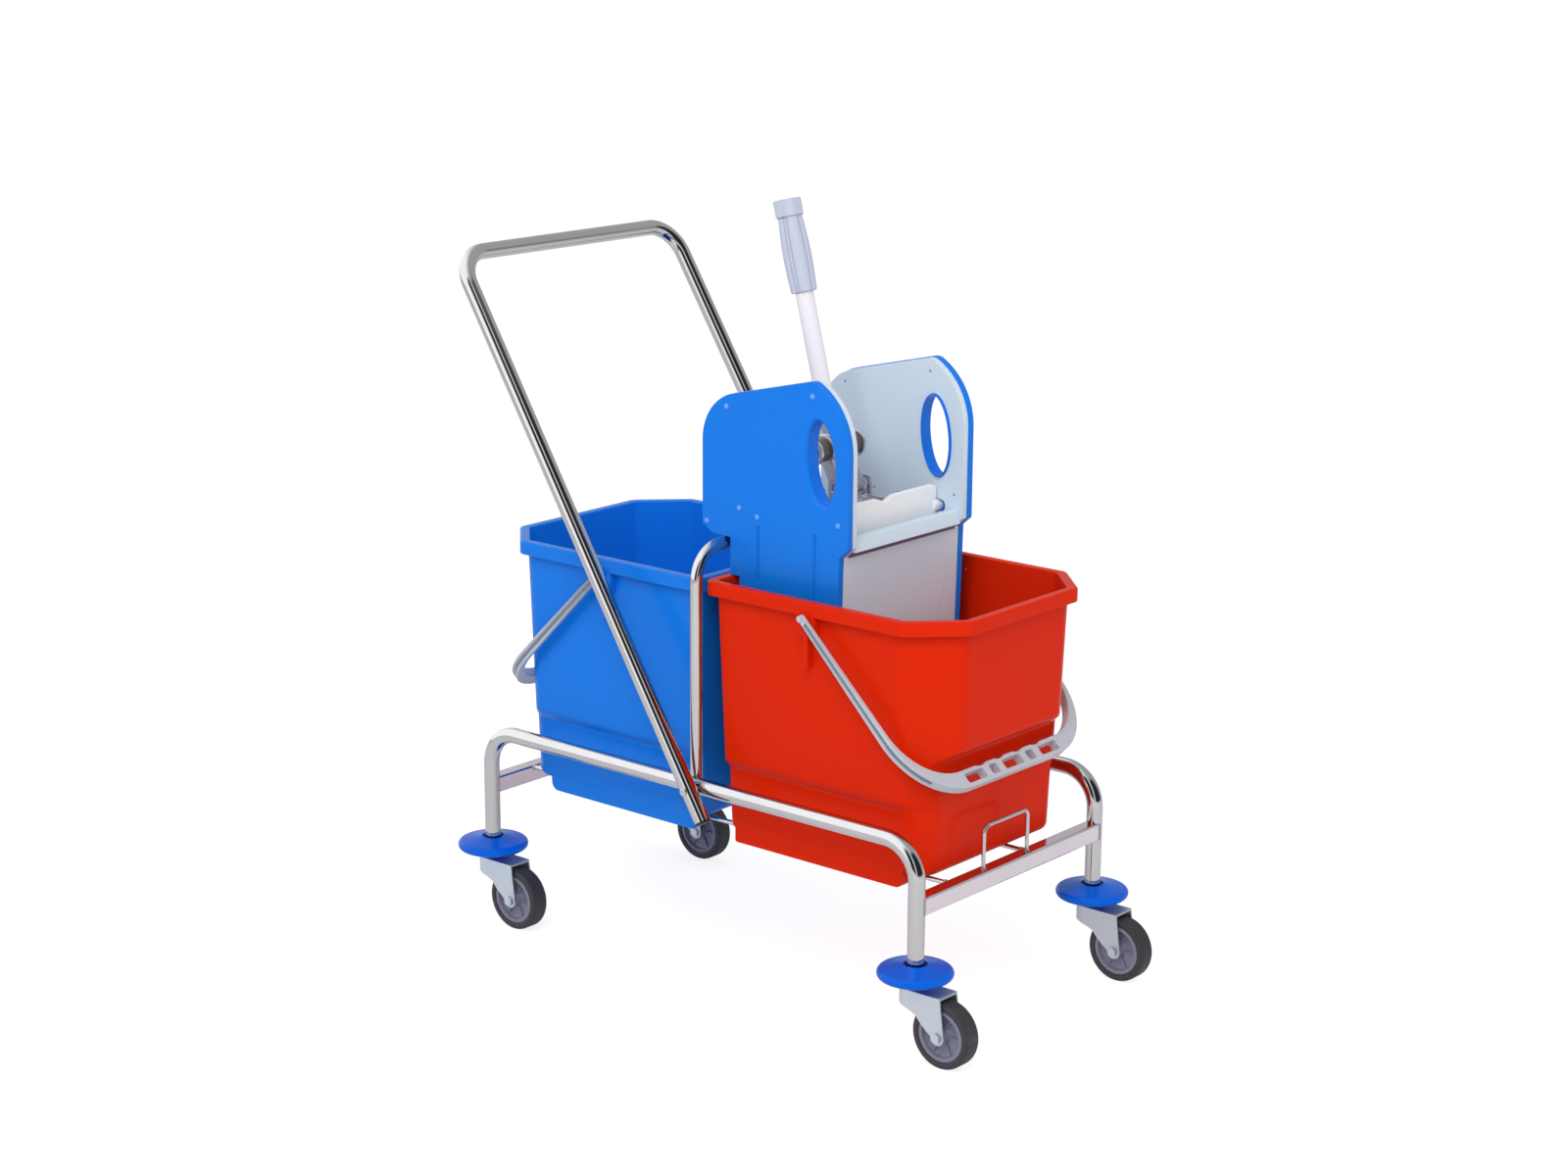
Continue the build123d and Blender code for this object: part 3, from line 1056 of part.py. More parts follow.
# Yoke: two slotted steel arms behind the press plate, driven by the crank pin
with BuildPart() as press_yoke:
    for side, hand in SIDES:
        shank_z = PRESS_TOP_Z - YOKE_SHANK
        arm_to = PRESS_X - PRESS_T - SEAT_GAP
        with BuildSketch(Plane.XZ.offset(-side * YOKE_OUT_Y)):
            with Locations((CRANK_PIN.X, CRANK_PIN.Z)):
                RectangleRounded(2 * YOKE_SLOT[0], YOKE_HEIGHT, YOKE_T / 2)
            with Locations(((CRANK_PIN.X + arm_to) / 2, shank_z)):
                Rectangle(arm_to - CRANK_PIN.X, YOKE_SHANK)
            with Locations((CRANK_PIN.X, CRANK_PIN.Z)):
                SlotOverall(YOKE_SLOT[1], YOKE_SLOT[0], rotation=90, mode=Mode.SUBTRACT)
        extrude(amount=side * YOKE_T)
        with Locations((arm_to - YOKE_T / 2, side * (YOKE_OUT_Y + YOKE_FOOT / 2), shank_z)):
            Box(YOKE_T, YOKE_FOOT, YOKE_FOOT)
keep(press_yoke, "press_yoke")

# Lever tube and its fluted grip
with BuildPart() as lever_tube:
    with BuildSketch(lever_plane(SOCKET_SPAN[0] + SEAT_GAP)):
        round_tube(LEVER_TUBE_D, LEVER_TUBE_WALL)
    extrude(amount=GRIP_SPAN[1] - GRIP_FLANGE / 2 - SOCKET_SPAN[0] - SEAT_GAP)
keep(lever_tube, "lever_tube")

with BuildPart() as lever_grip:
    with BuildSketch(lever_plane(GRIP_SPAN[0])):
        RectangleRounded(GRIP_SIZE[1], GRIP_SIZE[0], GRIP_CORNER_R)
        with GridLocations(1, GRIP_SIZE[0] + GRIP_FLUTE_R, 1, 2):
            Circle(GRIP_FLUTE_R, mode=Mode.SUBTRACT)
        with GridLocations(GRIP_SIZE[1] + GRIP_FLUTE_R, 3 * GRIP_FLUTE_R, 2, 2):
            Circle(GRIP_FLUTE_R, mode=Mode.SUBTRACT)
    extrude(amount=GRIP_SPAN[1] - GRIP_SPAN[0] - GRIP_FLANGE)
    with BuildSketch(lever_plane(GRIP_SPAN[1] - GRIP_FLANGE)):
        RectangleRounded(
            GRIP_SIZE[1] + 2 * GRIP_FLANGE_OUT, GRIP_SIZE[0] + 2 * GRIP_FLANGE_OUT, GRIP_CORNER_R
        )
    extrude(amount=GRIP_FLANGE)
    with BuildSketch(lever_plane(GRIP_SPAN[0])):
        Circle(LEVER_TUBE_D / 2 + SEAT_GAP / 2)
    extrude(amount=GRIP_SPAN[1] - GRIP_SPAN[0] - GRIP_FLANGE / 2 + SEAT_GAP, mode=Mode.SUBTRACT)
keep(lever_grip, "lever_grip")
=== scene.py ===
"""Looks of a double-bucket mopping trolley: finishes, rounded edges and studio.

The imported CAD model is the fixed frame. Each operator dresses one piece or group of like pieces.
"""

from functools import cache
from math import copysign, cos, hypot, pi, radians, sin, sqrt, tan

import bmesh
import bpy
from bpy.props import FloatProperty, FloatVectorProperty, IntProperty, PointerProperty
from mathutils import Matrix, Vector


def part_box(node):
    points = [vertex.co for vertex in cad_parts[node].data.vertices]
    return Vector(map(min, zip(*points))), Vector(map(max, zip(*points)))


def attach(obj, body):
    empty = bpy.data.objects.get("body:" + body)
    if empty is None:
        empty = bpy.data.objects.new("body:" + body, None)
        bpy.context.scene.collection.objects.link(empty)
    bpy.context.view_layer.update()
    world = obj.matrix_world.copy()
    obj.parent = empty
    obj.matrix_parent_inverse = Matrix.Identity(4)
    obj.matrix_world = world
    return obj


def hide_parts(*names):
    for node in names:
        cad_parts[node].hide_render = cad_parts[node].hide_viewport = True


bl_info = {
    "name": "Mopping trolley looks",
    "version": (1, 0, 0),
    "blender": (4, 5, 0),
    "location": "View3D > Sidebar > Trolley",
    "description": "Finishes and fine shapes for the parts of a mopping trolley",
    "category": "Object",
}

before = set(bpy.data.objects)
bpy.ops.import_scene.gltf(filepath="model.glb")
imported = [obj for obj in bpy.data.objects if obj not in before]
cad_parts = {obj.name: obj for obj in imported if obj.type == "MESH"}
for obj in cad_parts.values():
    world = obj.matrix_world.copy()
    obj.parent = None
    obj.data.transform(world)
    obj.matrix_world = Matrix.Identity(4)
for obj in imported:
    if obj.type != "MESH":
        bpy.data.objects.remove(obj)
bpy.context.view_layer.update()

MM = 0.001
ALONG, ACROSS = 0, 1  # axes of the trolley
SIDES = {"right": -1, "left": 1}  # ways across the trolley
CORNERS = [f"{end}_{hand}" for end in ("front", "rear") for hand in ("right", "left")]
BUCKETS = {"red": 1, "blue": -1}  # ways along the trolley
BETWEEN_BUCKETS = -20 * MM  # middle of the gap between the rims, along the trolley
RELIEF = 0.4 * MM  # depth of the fine relief in every finish

# Settings


def linear(red, green, blue):
    """Scene colour of a display colour given from 0 to 255."""
    return tuple(((v / 255 + 0.055) / 1.055) ** 2.4 if v > 10 else v / 3295 for v in (red, green, blue))


def colour(name, description, *display):
    """A colour that the user can change."""
    return FloatVectorProperty(
        name=name, description=description, subtype="COLOR", min=0, max=1, default=linear(*display)
    )


def length(name, description, millimetres):
    """A length that the user can change."""
    return FloatProperty(name=name, description=description, unit="LENGTH", min=0, default=millimetres * MM)


def lean(name, description, degrees):
    """An angle that the user can change."""
    return FloatProperty(
        name=name, description=description, subtype="ANGLE", unit="ROTATION", default=radians(degrees)
    )


def power(name, description, watts):
    """The power of a lamp that the user can change."""
    return FloatProperty(name=name, description=description, unit="POWER", default=watts)


class TrolleyColours(bpy.types.PropertyGroup):
    """Colours of the moulded and painted parts."""

    blue: colour("Blue plastic", "Rear bucket and outer wringer panels", 20, 124, 234)
    red: colour("Red plastic", "Front bucket", 222, 40, 6)
    bumper: colour("Bumper blue", "Round bumpers on the legs", 0, 97, 220)
    bail: colour("Bail grey", "Carrying handles of the buckets", 190, 195, 205)
    # Painted shade: the bail's groove is coloured darker for the shade that falls in it.
    groove: colour("Bail groove", "Groove along the carrying handles", 112, 124, 142)
    # Paler than the panels' blue; the paleness stands partly for the highlight on the domed heads.
    screw: colour("Screw blue", "Heads of the panel screws", 92, 160, 250)
    bush: colour("Bush brown", "Shaft bushes of the wringer", 92, 84, 82)
    # Painted shadow: this dark purple colours a strip that stands for the shadow under the wringer's ledge.
    seam: colour("Shadow strip purple", "Strip under the ledge of the wringer", 104, 92, 128)
    pale: colour("Pale panel", "Inner wringer panels and front ledge", 212, 229, 243)
    grey: colour("Grey plate", "Front, back and floor of the wringer", 214, 230, 244)
    white: colour("White plastic", "Press plate", 253, 253, 255)
    enamel: colour("White enamel", "Lever tube", 242, 240, 248)
    grip: colour("Grip", "Moulded grip of the lever", 196, 202, 222)
    # Black also colours the rings of painted shadow where the legs sink into the bumpers.
    black: colour("Black plastic", "Stoppers of the handle and collars of the legs", 22, 23, 27)
    tyre: colour("Tyre", "Solid rubber tyres", 50, 49, 54)
    hub: colour("Wheel centre", "Moulded wheel centres", 124, 124, 146)


class TrolleySizes(bpy.types.PropertyGroup):
    """Sizes of tubes, edges and small fittings."""

    tube_radius: length("Tube radius", "Side rails and push handle", 10)
    rail_bend: length("Rail bend", "Bend radius where a leg meets its rail", 45)
    handle_bend: length("Handle bend", "Bend radius of the push handle", 42)
    handle_taper: length("Handle taper", "How much each side of the handle closes in to the top", 5)
    arch_radius: length("Arch radius", "Tube between the buckets", 7.5)
    arch_bend: length("Arch bend", "Bend radius of the arch", 42)
    bar_corner: length("Bar corner", "Corner radius of the square crossbars", 3)
    rod_radius: length("Rod radius", "Support rods under the buckets", 3)
    hoop_radius: length("Hoop wire radius", "Wire stop on the front crossbar", 2.5)
    hoop_bend: length("Hoop bend", "Bend radius of the wire stop", 9)
    weld_bead: length("Weld bead", "Radius of one ripple in a weld", 1.5)
    bolt_head: length("Bolt head", "Height of the handle bolts' heads in the frame", 4.5)
    fork_head: length("Fork head", "Radius of the round back of a fork", 19)
    fork_sheet: length("Fork sheet", "Thickness of the fork's sheet", 2.3)
    fork_lap: length("Fork lap", "Lap of the round back along the cheeks", 14)
    fork_skirt: length("Fork back", "Height of the round back in the middle", 20)
    fork_sweep: length("Fork sweep", "Further height of the round back at the cheeks", 8)
    fork_nose: length("Fork nose", "Fork in front of the axle, at the tip", 9.5)
    nose_lean: length("Fork lean", "Backward lean of the fork's front edge at the top", 5)
    sheet_edge: length("Sheet edge", "Edge radius of pressed sheet metal", 0.7)
    hub_ribs: IntProperty(name="Hub ribs", description="Ribs on each wheel face", default=6, min=3)
    groove_width: length("Bail groove", "Width of the groove along the bails", 5)
    panel_edge: length("Panel edge", "Edge radius of the moulded wringer panels", 1.4)
    hole_lean: lean("Hand hole lean", "Lean of the hand holes towards the rear", 5)
    collar_depth: length("Collar depth", "How much further in the collars of the hand holes reach", 5)
    screw_radius: length("Screw radius", "Radius of a domed screw head", 3.5)
    screw_height: length("Screw height", "Height of a domed screw head", 1.7)
    # The strip under the ledge is painted shadow.
    shadow_strip_height: length("Shadow strip height", "Height of the dark strip under the ledge", 7)
    lever_radius: length("Lever radius", "Tube of the lever", 11)
    lever_lean: lean("Lever lean", "Backward lean of the lever", 14.7)
    grip_swell: length("Grip swell", "How much the lever's grip swells half way up", 2.0)
    grip_neck: length("Grip neck", "How much the lever's grip narrows under its cap", 1.1)


class BucketSizes(bpy.types.PropertyGroup):
    """Shape of the two like buckets."""

    length: length("Length", "Over the rim", 357)
    width: length("Width", "Over the rim", 324)
    gap: length("Gap", "Between the two rims", 4)
    top: length("Top", "Height of the rim", 507)
    bottom: length("Bottom", "Height of the underside", 194.8)
    cut: length("Corner cut", "Cut corners at the outer end", 57)
    wall: length("Wall", "Thickness of the moulding", 3)
    overhang: length("Overhang", "Rim beyond the wall", 10)
    skirt: length("Skirt", "Depth of the folded rim", 17)
    lip: length("Lip", "Radius along the top of the rim", 2.6)
    rim_corner: length("Rim corner", "Corner radius of the rim", 16)
    wall_corner: length("Wall corner", "Corner radius of the walls", 11)
    bottom_round: length("Bottom round", "Radius along the bottom edge", 9)
    cut_corner: length("Cut corner", "Radius beside the cut corners of the walls", 24)
    front_step: length("Front step", "Depth of the recess behind the bail's grip", 19)
    side_step: length("Side step", "Depth of the step low on the side walls", 8)
    side_draft: lean("Side draft", "Inward lean of the side walls", 1.1)
    end_draft: lean("End draft", "Inward lean of the end walls", 2.2)


class StudioSizes(bpy.types.PropertyGroup):
    """Camera and light of the studio."""

    camera_place: FloatVectorProperty(
        name="Camera place", description="Where the camera stands", subtype="TRANSLATION",
        unit="LENGTH", default=(2.26625, -2.73210, 1.37592),
    )
    lens: FloatProperty(name="Lens", description="Focal length in millimetres", unit="CAMERA", default=68.59)
    floor: colour("Floor", "Pale studio floor", 248, 248, 248)
    key_power: power("Key light", "Power of the main soft box", 95)
    fill_power: power("Fill light", "Power of the side soft box", 18)


# Mesh helpers


def new_piece(name, data):
    """Put a mesh, lamp or camera in the scene at the origin."""
    piece = bpy.data.objects.new(name, data)
    bpy.context.scene.collection.objects.link(piece)
    return piece


def piece_from(name, shape):
    """Turn a bmesh into a piece."""
    mesh = bpy.data.meshes.new(name)
    shape.to_mesh(mesh)
    shape.free()
    return new_piece(name, mesh)


def settle(piece):
    """Turn a piece and its modifiers into a plain mesh."""
    graph = bpy.context.evaluated_depsgraph_get()
    mesh = bpy.data.meshes.new_from_object(piece.evaluated_get(graph))
    piece.modifiers.clear()
    piece.data = mesh
    return piece


def even_shading(piece, sharp=38):
    """Smooth shading that leaves broad faces flat and edges past an angle sharp."""
    piece.data.shade_smooth()
    piece.data.set_sharp_from_angle(angle=radians(sharp))
    weights = piece.modifiers.new("Broad faces", "WEIGHTED_NORMAL")
    weights.keep_sharp = True
    return settle(piece)


def dress(piece, body, slot, *nodes, finish=None):
    """Give a piece its finish and body, and let it stand for CAD nodes."""
    piece.data.materials.clear()
    piece.data.materials.append(finishes()[finish or slot])
    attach(piece, body)
    if nodes:
        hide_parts(*nodes)


def softened(node, radius, body, slot, finish=None, shortest=0.0, reshape=None):
    """A copy of a CAD node with its longer folds rounded, in place of the node."""
    same_place, flat, folded = 1e-6, radians(0.8), radians(30)
    shape = bmesh.new()
    shape.from_mesh(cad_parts[node].data)
    bmesh.ops.remove_doubles(shape, verts=shape.verts, dist=same_place)
    bmesh.ops.dissolve_limit(shape, angle_limit=flat, verts=shape.verts, edges=shape.edges)
    if reshape:
        reshape(shape)
    rounding = shape.edges.layers.float.new("bevel_weight_edge")
    for edge in shape.edges:
        fold = edge.is_manifold and edge.calc_face_angle() > folded
        edge[rounding] = float(fold and edge.calc_length() > shortest)
    piece = piece_from(node + "_form", shape)
    bevel = piece.modifiers.new("Edges", "BEVEL")
    bevel.width = radius
    bevel.segments = 3
    bevel.limit_method = "WEIGHT"
    bevel.use_clamp_overlap = False
    settle(piece)
    even_shading(piece, sharp=40)
    dress(piece, body, slot, node, finish=finish)
    return piece


def skin(name, rings, looped=False):
    """Skin between rings of equal counts; open ends are capped, a looped one is joined."""
    shape = bmesh.new()
    rows = [[shape.verts.new(point) for point in ring] for ring in rings]
    following = rows[1:] + rows[:1] if looped else rows[1:]
    count = len(rows[0])
    for low, high in zip(rows, following):
        for i in range(count):
            j = (i + 1) % count
            shape.faces.new((low[i], low[j], high[j], high[i]))
    if not looped:
        shape.faces.new(rows[0][::-1])
        shape.faces.new(rows[-1])
    bmesh.ops.recalc_face_normals(shape, faces=shape.faces)
    return piece_from(name, shape)


def bar(name, plan, *ends):
    """A bar across the trolley with an outline in X and Z."""
    return skin(name, [[(x, y, z) for x, z in plan] for y in ends])


def turned(name, profile, centre, axis, steps=96):
    """A ring turned round an axis from a closed profile of (radius, height) in millimetres."""
    facing = Vector(axis).to_track_quat("Z", "Y").to_matrix()
    rings = [
        [
            Vector(centre) + facing @ Vector((radius * MM * cos(a), radius * MM * sin(a), height * MM))
            for a in (2 * pi * k / steps for k in range(steps))
        ]
        for radius, height in profile
    ]
    return skin(name, rings, looped=True)


def arc(centre, radius, start, stop, steps):
    """Points on a circle between two angles in degrees."""
    return [
        (centre[0] + radius * cos(radians(a)), centre[1] + radius * sin(radians(a)))
        for a in (start + (stop - start) * k / steps for k in range(steps + 1))
    ]


def circle(centre, radius):
    """Points all round a circle."""
    return arc(centre, radius, 0, 360, steps=24)[:-1]


def middle_of(node):
    """Middle of a CAD node's box."""
    low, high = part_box(node)
    return (low + high) / 2


def rectangle(left, low, right, high):
    """Corners of a rectangle in their order round it."""
    return [(left, low), (right, low), (right, high), (left, high)]


def rounded_outline(corners, radii, steps):
    """Closed plan with round corners, steps + 1 points on each; one radius, or one for each."""
    points = []
    for i, corner in enumerate(corners):
        radius = radii if isinstance(radii, float) else radii[i]
        here = Vector(corner)
        back = (Vector(corners[i - 1]) - here).normalized()
        on = (Vector(corners[(i + 1) % len(corners)]) - here).normalized()
        half = back.angle(on) / 2
        centre = here + (back + on).normalized() * (radius / sin(half))
        start = here + back * (radius / tan(half)) - centre
        stop = here + on * (radius / tan(half)) - centre
        sweep = start.angle(stop)
        for k in range(steps + 1):
            t = k / steps
            mixed = start * sin((1 - t) * sweep) + stop * sin(t * sweep)
            points.append(centre + mixed / sin(sweep))
    return points


def smooth_step(start, stop, value):
    """Goes from 0 at start to 1 at stop, flat at both ends."""
    t = min(max((value - start) / (stop - start), 0), 1)
    return t * t * (3 - 2 * t)


def add_block(shape, centre, size, radius):
    """Add a round-edged block to a bmesh."""
    place = Matrix.Translation(centre) @ Matrix.Diagonal((*size, 1))
    made = bmesh.ops.create_cube(shape, size=1, matrix=place)
    edges = list({edge for vert in made["verts"] for edge in vert.link_edges})
    bmesh.ops.bevel(shape, geom=edges, offset=radius, segments=3, affect="EDGES", profile=0.5)


def add_boss(shape, foot, radius, height, side):
    """Add a round boss that stands out along Y to a bmesh."""
    place = Matrix.Translation(Vector(foot) + Vector((0, side * height / 2, 0)))
    bmesh.ops.create_cone(
        shape, cap_ends=True, segments=40, radius1=radius, radius2=radius, depth=height,
        matrix=place @ Matrix.Rotation(radians(90), 4, "X"),
    )


def joined(first, *others):
    """Join the meshes of several pieces into the first."""
    shape = bmesh.new()
    for piece in (first, *others):
        shape.from_mesh(piece.data)
    shape.to_mesh(first.data)
    shape.free()
    for piece in others:
        bpy.data.objects.remove(piece)
    return first


# Node helpers


def add_node(tree, kind, *values, output=0, **options):
    """Add a node and return one of its outputs.

    Values go to its sockets in order, and options with a capital letter to sockets by name.
    The other options are settings of the node.
    """
    node = tree.nodes.new(kind)
    inputs = dict(enumerate(values))
    for key, value in options.items():
        if key[0].isupper():
            inputs[key.replace("_", " ")] = value
        else:
            setattr(node, key, value)
    for key, value in inputs.items():
        if isinstance(value, bpy.types.NodeSocket):
            tree.links.new(value, node.inputs[key])
        else:
            node.inputs[key].default_value = value
    return node.outputs[output]


def maths(tree, operation, *values):
    """Result of a calculation with sockets and numbers."""
    return add_node(tree, "ShaderNodeMath", *values, operation=operation)


def mapped(tree, value, start, stop, low, high, way="LINEAR"):
    """A value's way from start to stop turned into one from low to high."""
    return add_node(tree, "ShaderNodeMapRange", value, start, stop, low, high, interpolation_type=way)


def noise(tree, place, scale, detail, roughness=0.5):
    """Smooth noise between 0 and 1."""
    return add_node(
        tree, "ShaderNodeTexNoise", output="Fac",
        Vector=place, Scale=scale, Detail=detail, Roughness=roughness,
    )


# Geometry node trees


def new_tree(name, **inputs):
    """A geometry tree with a starting geometry, inputs of the given kinds and a finish."""
    tree = bpy.data.node_groups.new(name, "GeometryNodeTree")
    for socket, kind in {"Geometry": "Geometry", **inputs, "Finish": "Material"}.items():
        tree.interface.new_socket(socket, in_out="INPUT", socket_type="NodeSocket" + kind)
    tree.interface.new_socket("Geometry", in_out="OUTPUT", socket_type="NodeSocketGeometry")
    return tree, tree.nodes.new("NodeGroupInput").outputs


def end_tree(tree, geometry, given):
    """Realize the instances, set the material and end the tree."""
    real = add_node(tree, "GeometryNodeRealizeInstances", geometry)
    smooth = add_node(tree, "GeometryNodeSetShadeSmooth", real)
    finished = add_node(tree, "GeometryNodeSetMaterial", smooth, Material=given["Finish"])
    tree.links.new(finished, tree.nodes.new("NodeGroupOutput").inputs[0])
    return tree


@cache
def tube_tree():
    """Tube that follows a path of straight runs, with round bends."""
    tree, given = new_tree("Bent tube", Radius="Float", Bend="Float", Sides="Int")
    path = add_node(tree, "GeometryNodeMeshToCurve", given["Geometry"])
    bends = add_node(tree, "GeometryNodeFilletCurve", path, mode="POLY", Count=18, Radius=given["Bend"])
    section = add_node(
        tree, "GeometryNodeCurvePrimitiveCircle", Resolution=given["Sides"], Radius=given["Radius"]
    )
    tube = add_node(tree, "GeometryNodeCurveToMesh", bends, section, Fill_Caps=True)
    return end_tree(tree, tube, given)


@cache
def weld_tree():
    """Row of small overlapping ripples along a path, as a weld leaves."""
    smallest, largest = (0.85, 0.85, 0.7), (1.1, 1.1, 1.0)
    tree, given = new_tree("Weld bead", Bead="Float", Pitch="Float", Seed="Int")
    path = add_node(tree, "GeometryNodeMeshToCurve", given["Geometry"])
    points = add_node(tree, "GeometryNodeResampleCurve", path, mode="LENGTH", Length=given["Pitch"])
    ripple = add_node(tree, "GeometryNodeMeshIcoSphere", Radius=given["Bead"], Subdivisions=2)
    spread = add_node(
        tree, "FunctionNodeRandomValue", data_type="FLOAT_VECTOR",
        Min=smallest, Max=largest, Seed=given["Seed"],
    )
    row = add_node(tree, "GeometryNodeInstanceOnPoints", points, Instance=ripple, Scale=spread)
    return end_tree(tree, row, given)


@cache
def screw_tree():
    """Domed screw heads, one on each point, that face away from the trolley's middle."""
    tree, given = new_tree("Panel screws", Radius="Float", Height="Float")
    radius, points = given["Radius"], given["Geometry"]
    ball = add_node(tree, "GeometryNodeMeshUVSphere", Segments=24, Rings=12, Radius=1.0)
    size = add_node(tree, "ShaderNodeCombineXYZ", radius, radius, given["Height"])
    dome = add_node(tree, "GeometryNodeTransform", ball, Scale=size)
    place = add_node(tree, "GeometryNodeInputPosition")
    across = add_node(tree, "ShaderNodeSeparateXYZ", place, output="Y")
    outward = add_node(tree, "ShaderNodeCombineXYZ", Y=across)
    facing = add_node(tree, "FunctionNodeAlignRotationToVector", axis="Z", Vector=outward)
    heads = add_node(tree, "GeometryNodeInstanceOnPoints", points, Instance=dome, Rotation=facing)
    return end_tree(tree, heads, given)


@cache
def rib_tree():
    """Ribs set evenly round a wheel centre, drawn about the Z axis."""
    tree, given = new_tree(
        "Hub ribs", Count="Int", Inner="Float", Outer="Float", Width="Float", Height="Float"
    )
    span = maths(tree, "SUBTRACT", given["Outer"], given["Inner"])
    size = add_node(tree, "ShaderNodeCombineXYZ", span, given["Width"], given["Height"])
    rib = add_node(tree, "GeometryNodeMeshCube", size)
    total = maths(tree, "ADD", given["Outer"], given["Inner"])
    middle = maths(tree, "MULTIPLY", total, 0.5)
    points = add_node(tree, "GeometryNodeMeshCircle", Vertices=given["Count"], Radius=middle)
    place = add_node(tree, "GeometryNodeInputPosition")
    facing = add_node(tree, "FunctionNodeAlignRotationToVector", axis="X", Vector=place)
    ribs = add_node(tree, "GeometryNodeInstanceOnPoints", points, Instance=rib, Rotation=facing)
    return end_tree(tree, ribs, given)


def point_mesh(points, edges=()):
    """Mesh of bare points and edges."""
    mesh = bpy.data.meshes.new("points")
    mesh.from_pydata([tuple(point) for point in points], edges, [])
    return mesh


def path_mesh(points, loop=False):
    """Edges from point to point."""
    edges = [(i, i + 1) for i in range(len(points) - 1)]
    if loop:
        edges.append((len(points) - 1, 0))
    return point_mesh(points, edges)


def grown(name, seed_mesh, tree, finish, **inputs):
    """A piece grown by a geometry tree from a seed mesh, as a plain mesh."""
    piece = new_piece(name, seed_mesh)
    modifier = piece.modifiers.new(tree.name, "NODES")
    modifier.node_group = tree
    inputs["Finish"] = finishes()[finish]
    for socket in tree.interface.items_tree:
        if socket.in_out == "INPUT" and socket.name in inputs:
            modifier[socket.identifier] = inputs[socket.name]
    return settle(piece)


def bent_tube(name, points, radius, bend=0.0, sides=40, finish="chrome_tube"):
    """A round tube along a path, with crisp ends."""
    piece = grown(name, path_mesh(points), tube_tree(), finish, Radius=radius, Bend=bend, Sides=sides)
    piece.data.set_sharp_from_angle(angle=radians(40))
    return piece


# Shader groups and materials


def new_group(name, **inputs):
    """A shader group with the given defaults that gives a colour, a roughness and a height."""
    group = bpy.data.node_groups.new(name, "ShaderNodeTree")
    for socket, value in inputs.items():
        kind = "Float" if isinstance(value, float) else {3: "Vector", 4: "Color"}[len(value)]
        made = group.interface.new_socket(socket, in_out="INPUT", socket_type="NodeSocket" + kind)
        made.default_value = value
    for socket, kind in (("Colour", "Color"), ("Roughness", "Float"), ("Height", "Float")):
        group.interface.new_socket(socket, in_out="OUTPUT", socket_type="NodeSocket" + kind)
    return group, group.nodes.new("NodeGroupInput").outputs


def end_group(group, *results):
    """Hand out a shader group's colour, roughness and height."""
    for result, socket in zip(results, group.nodes.new("NodeGroupOutput").inputs):
        group.links.new(result, socket)
    return group


@cache
def moulded_group():
    """Moulded plastic: slow colour drift, pale scuffs, uneven gloss and a fine grain."""
    group, given = new_group(
        "Moulded skin", Colour=(0.5, 0.5, 0.5, 1), Drift=0.06, Scuff=0.05, Gloss=0.3, Grain=900.0
    )
    scuff_tint = (0.85, 0.85, 0.87, 1)
    place = add_node(group, "ShaderNodeTexCoord", output="Object")
    level = maths(group, "MULTIPLY_ADD", noise(group, place, 7.0, 3.0), given["Drift"], 1.0)
    centred = maths(group, "MULTIPLY_ADD", given["Drift"], -0.5, level)
    shade = add_node(group, "ShaderNodeHueSaturation", Color=given["Colour"], Value=centred)
    marks = noise(group, place, 28.0, 9.0, 0.72)
    mask = mapped(group, marks, 0.56, 0.74, 0, given["Scuff"])
    scuffed = add_node(group, "ShaderNodeMixRGB", mask, shade, scuff_tint)
    rough = maths(group, "ADD", given["Gloss"], mapped(group, marks, 0.3, 0.7, -0.02, 0.03))
    grain = noise(group, place, given["Grain"], 2.0)
    return end_group(group, scuffed, rough, grain)


@cache
def metal_group():
    """Metal: drifting tint, fine drawn lines and uneven gloss."""
    group, given = new_group(
        "Drawn metal", Colour=(0.8, 0.8, 0.8, 1), Gloss=0.1, Lines=0.04, Stretch=(900.0, 900.0, 60.0)
    )
    place = add_node(group, "ShaderNodeTexCoord", output="Object")
    along = add_node(group, "ShaderNodeVectorMath", place, given["Stretch"], operation="MULTIPLY")
    lines = noise(group, along, 1.0, 3.0)
    slow = noise(group, place, 16.0, 4.0)
    level = mapped(group, slow, 0, 1, 0.93, 1.05)
    tint = add_node(group, "ShaderNodeHueSaturation", Color=given["Colour"], Value=level)
    mixed = maths(group, "MULTIPLY", lines, slow)
    rough = maths(group, "MULTIPLY_ADD", mixed, given["Lines"], given["Gloss"])
    return end_group(group, tint, rough, lines)


def new_material(name, group, values, bump, metallic=0.0, sheen=0.5):
    """A Principled material fed by a shared group; sheen is its specular level."""
    material = bpy.data.materials.new(name)
    material.use_nodes = True
    tree = material.node_tree
    surface = tree.nodes["Principled BSDF"].inputs
    surface["Metallic"].default_value = metallic
    surface["Specular IOR Level"].default_value = sheen
    effect = tree.nodes.new("ShaderNodeGroup")
    effect.node_tree = group
    for socket, value in values.items():
        effect.inputs[socket].default_value = value
    height = effect.outputs["Height"]
    relief = add_node(tree, "ShaderNodeBump", Height=height, Strength=bump, Distance=RELIEF)
    tree.links.new(effect.outputs["Colour"], surface["Base Color"])
    tree.links.new(effect.outputs["Roughness"], surface["Roughness"])
    tree.links.new(relief, surface["Normal"])
    return material


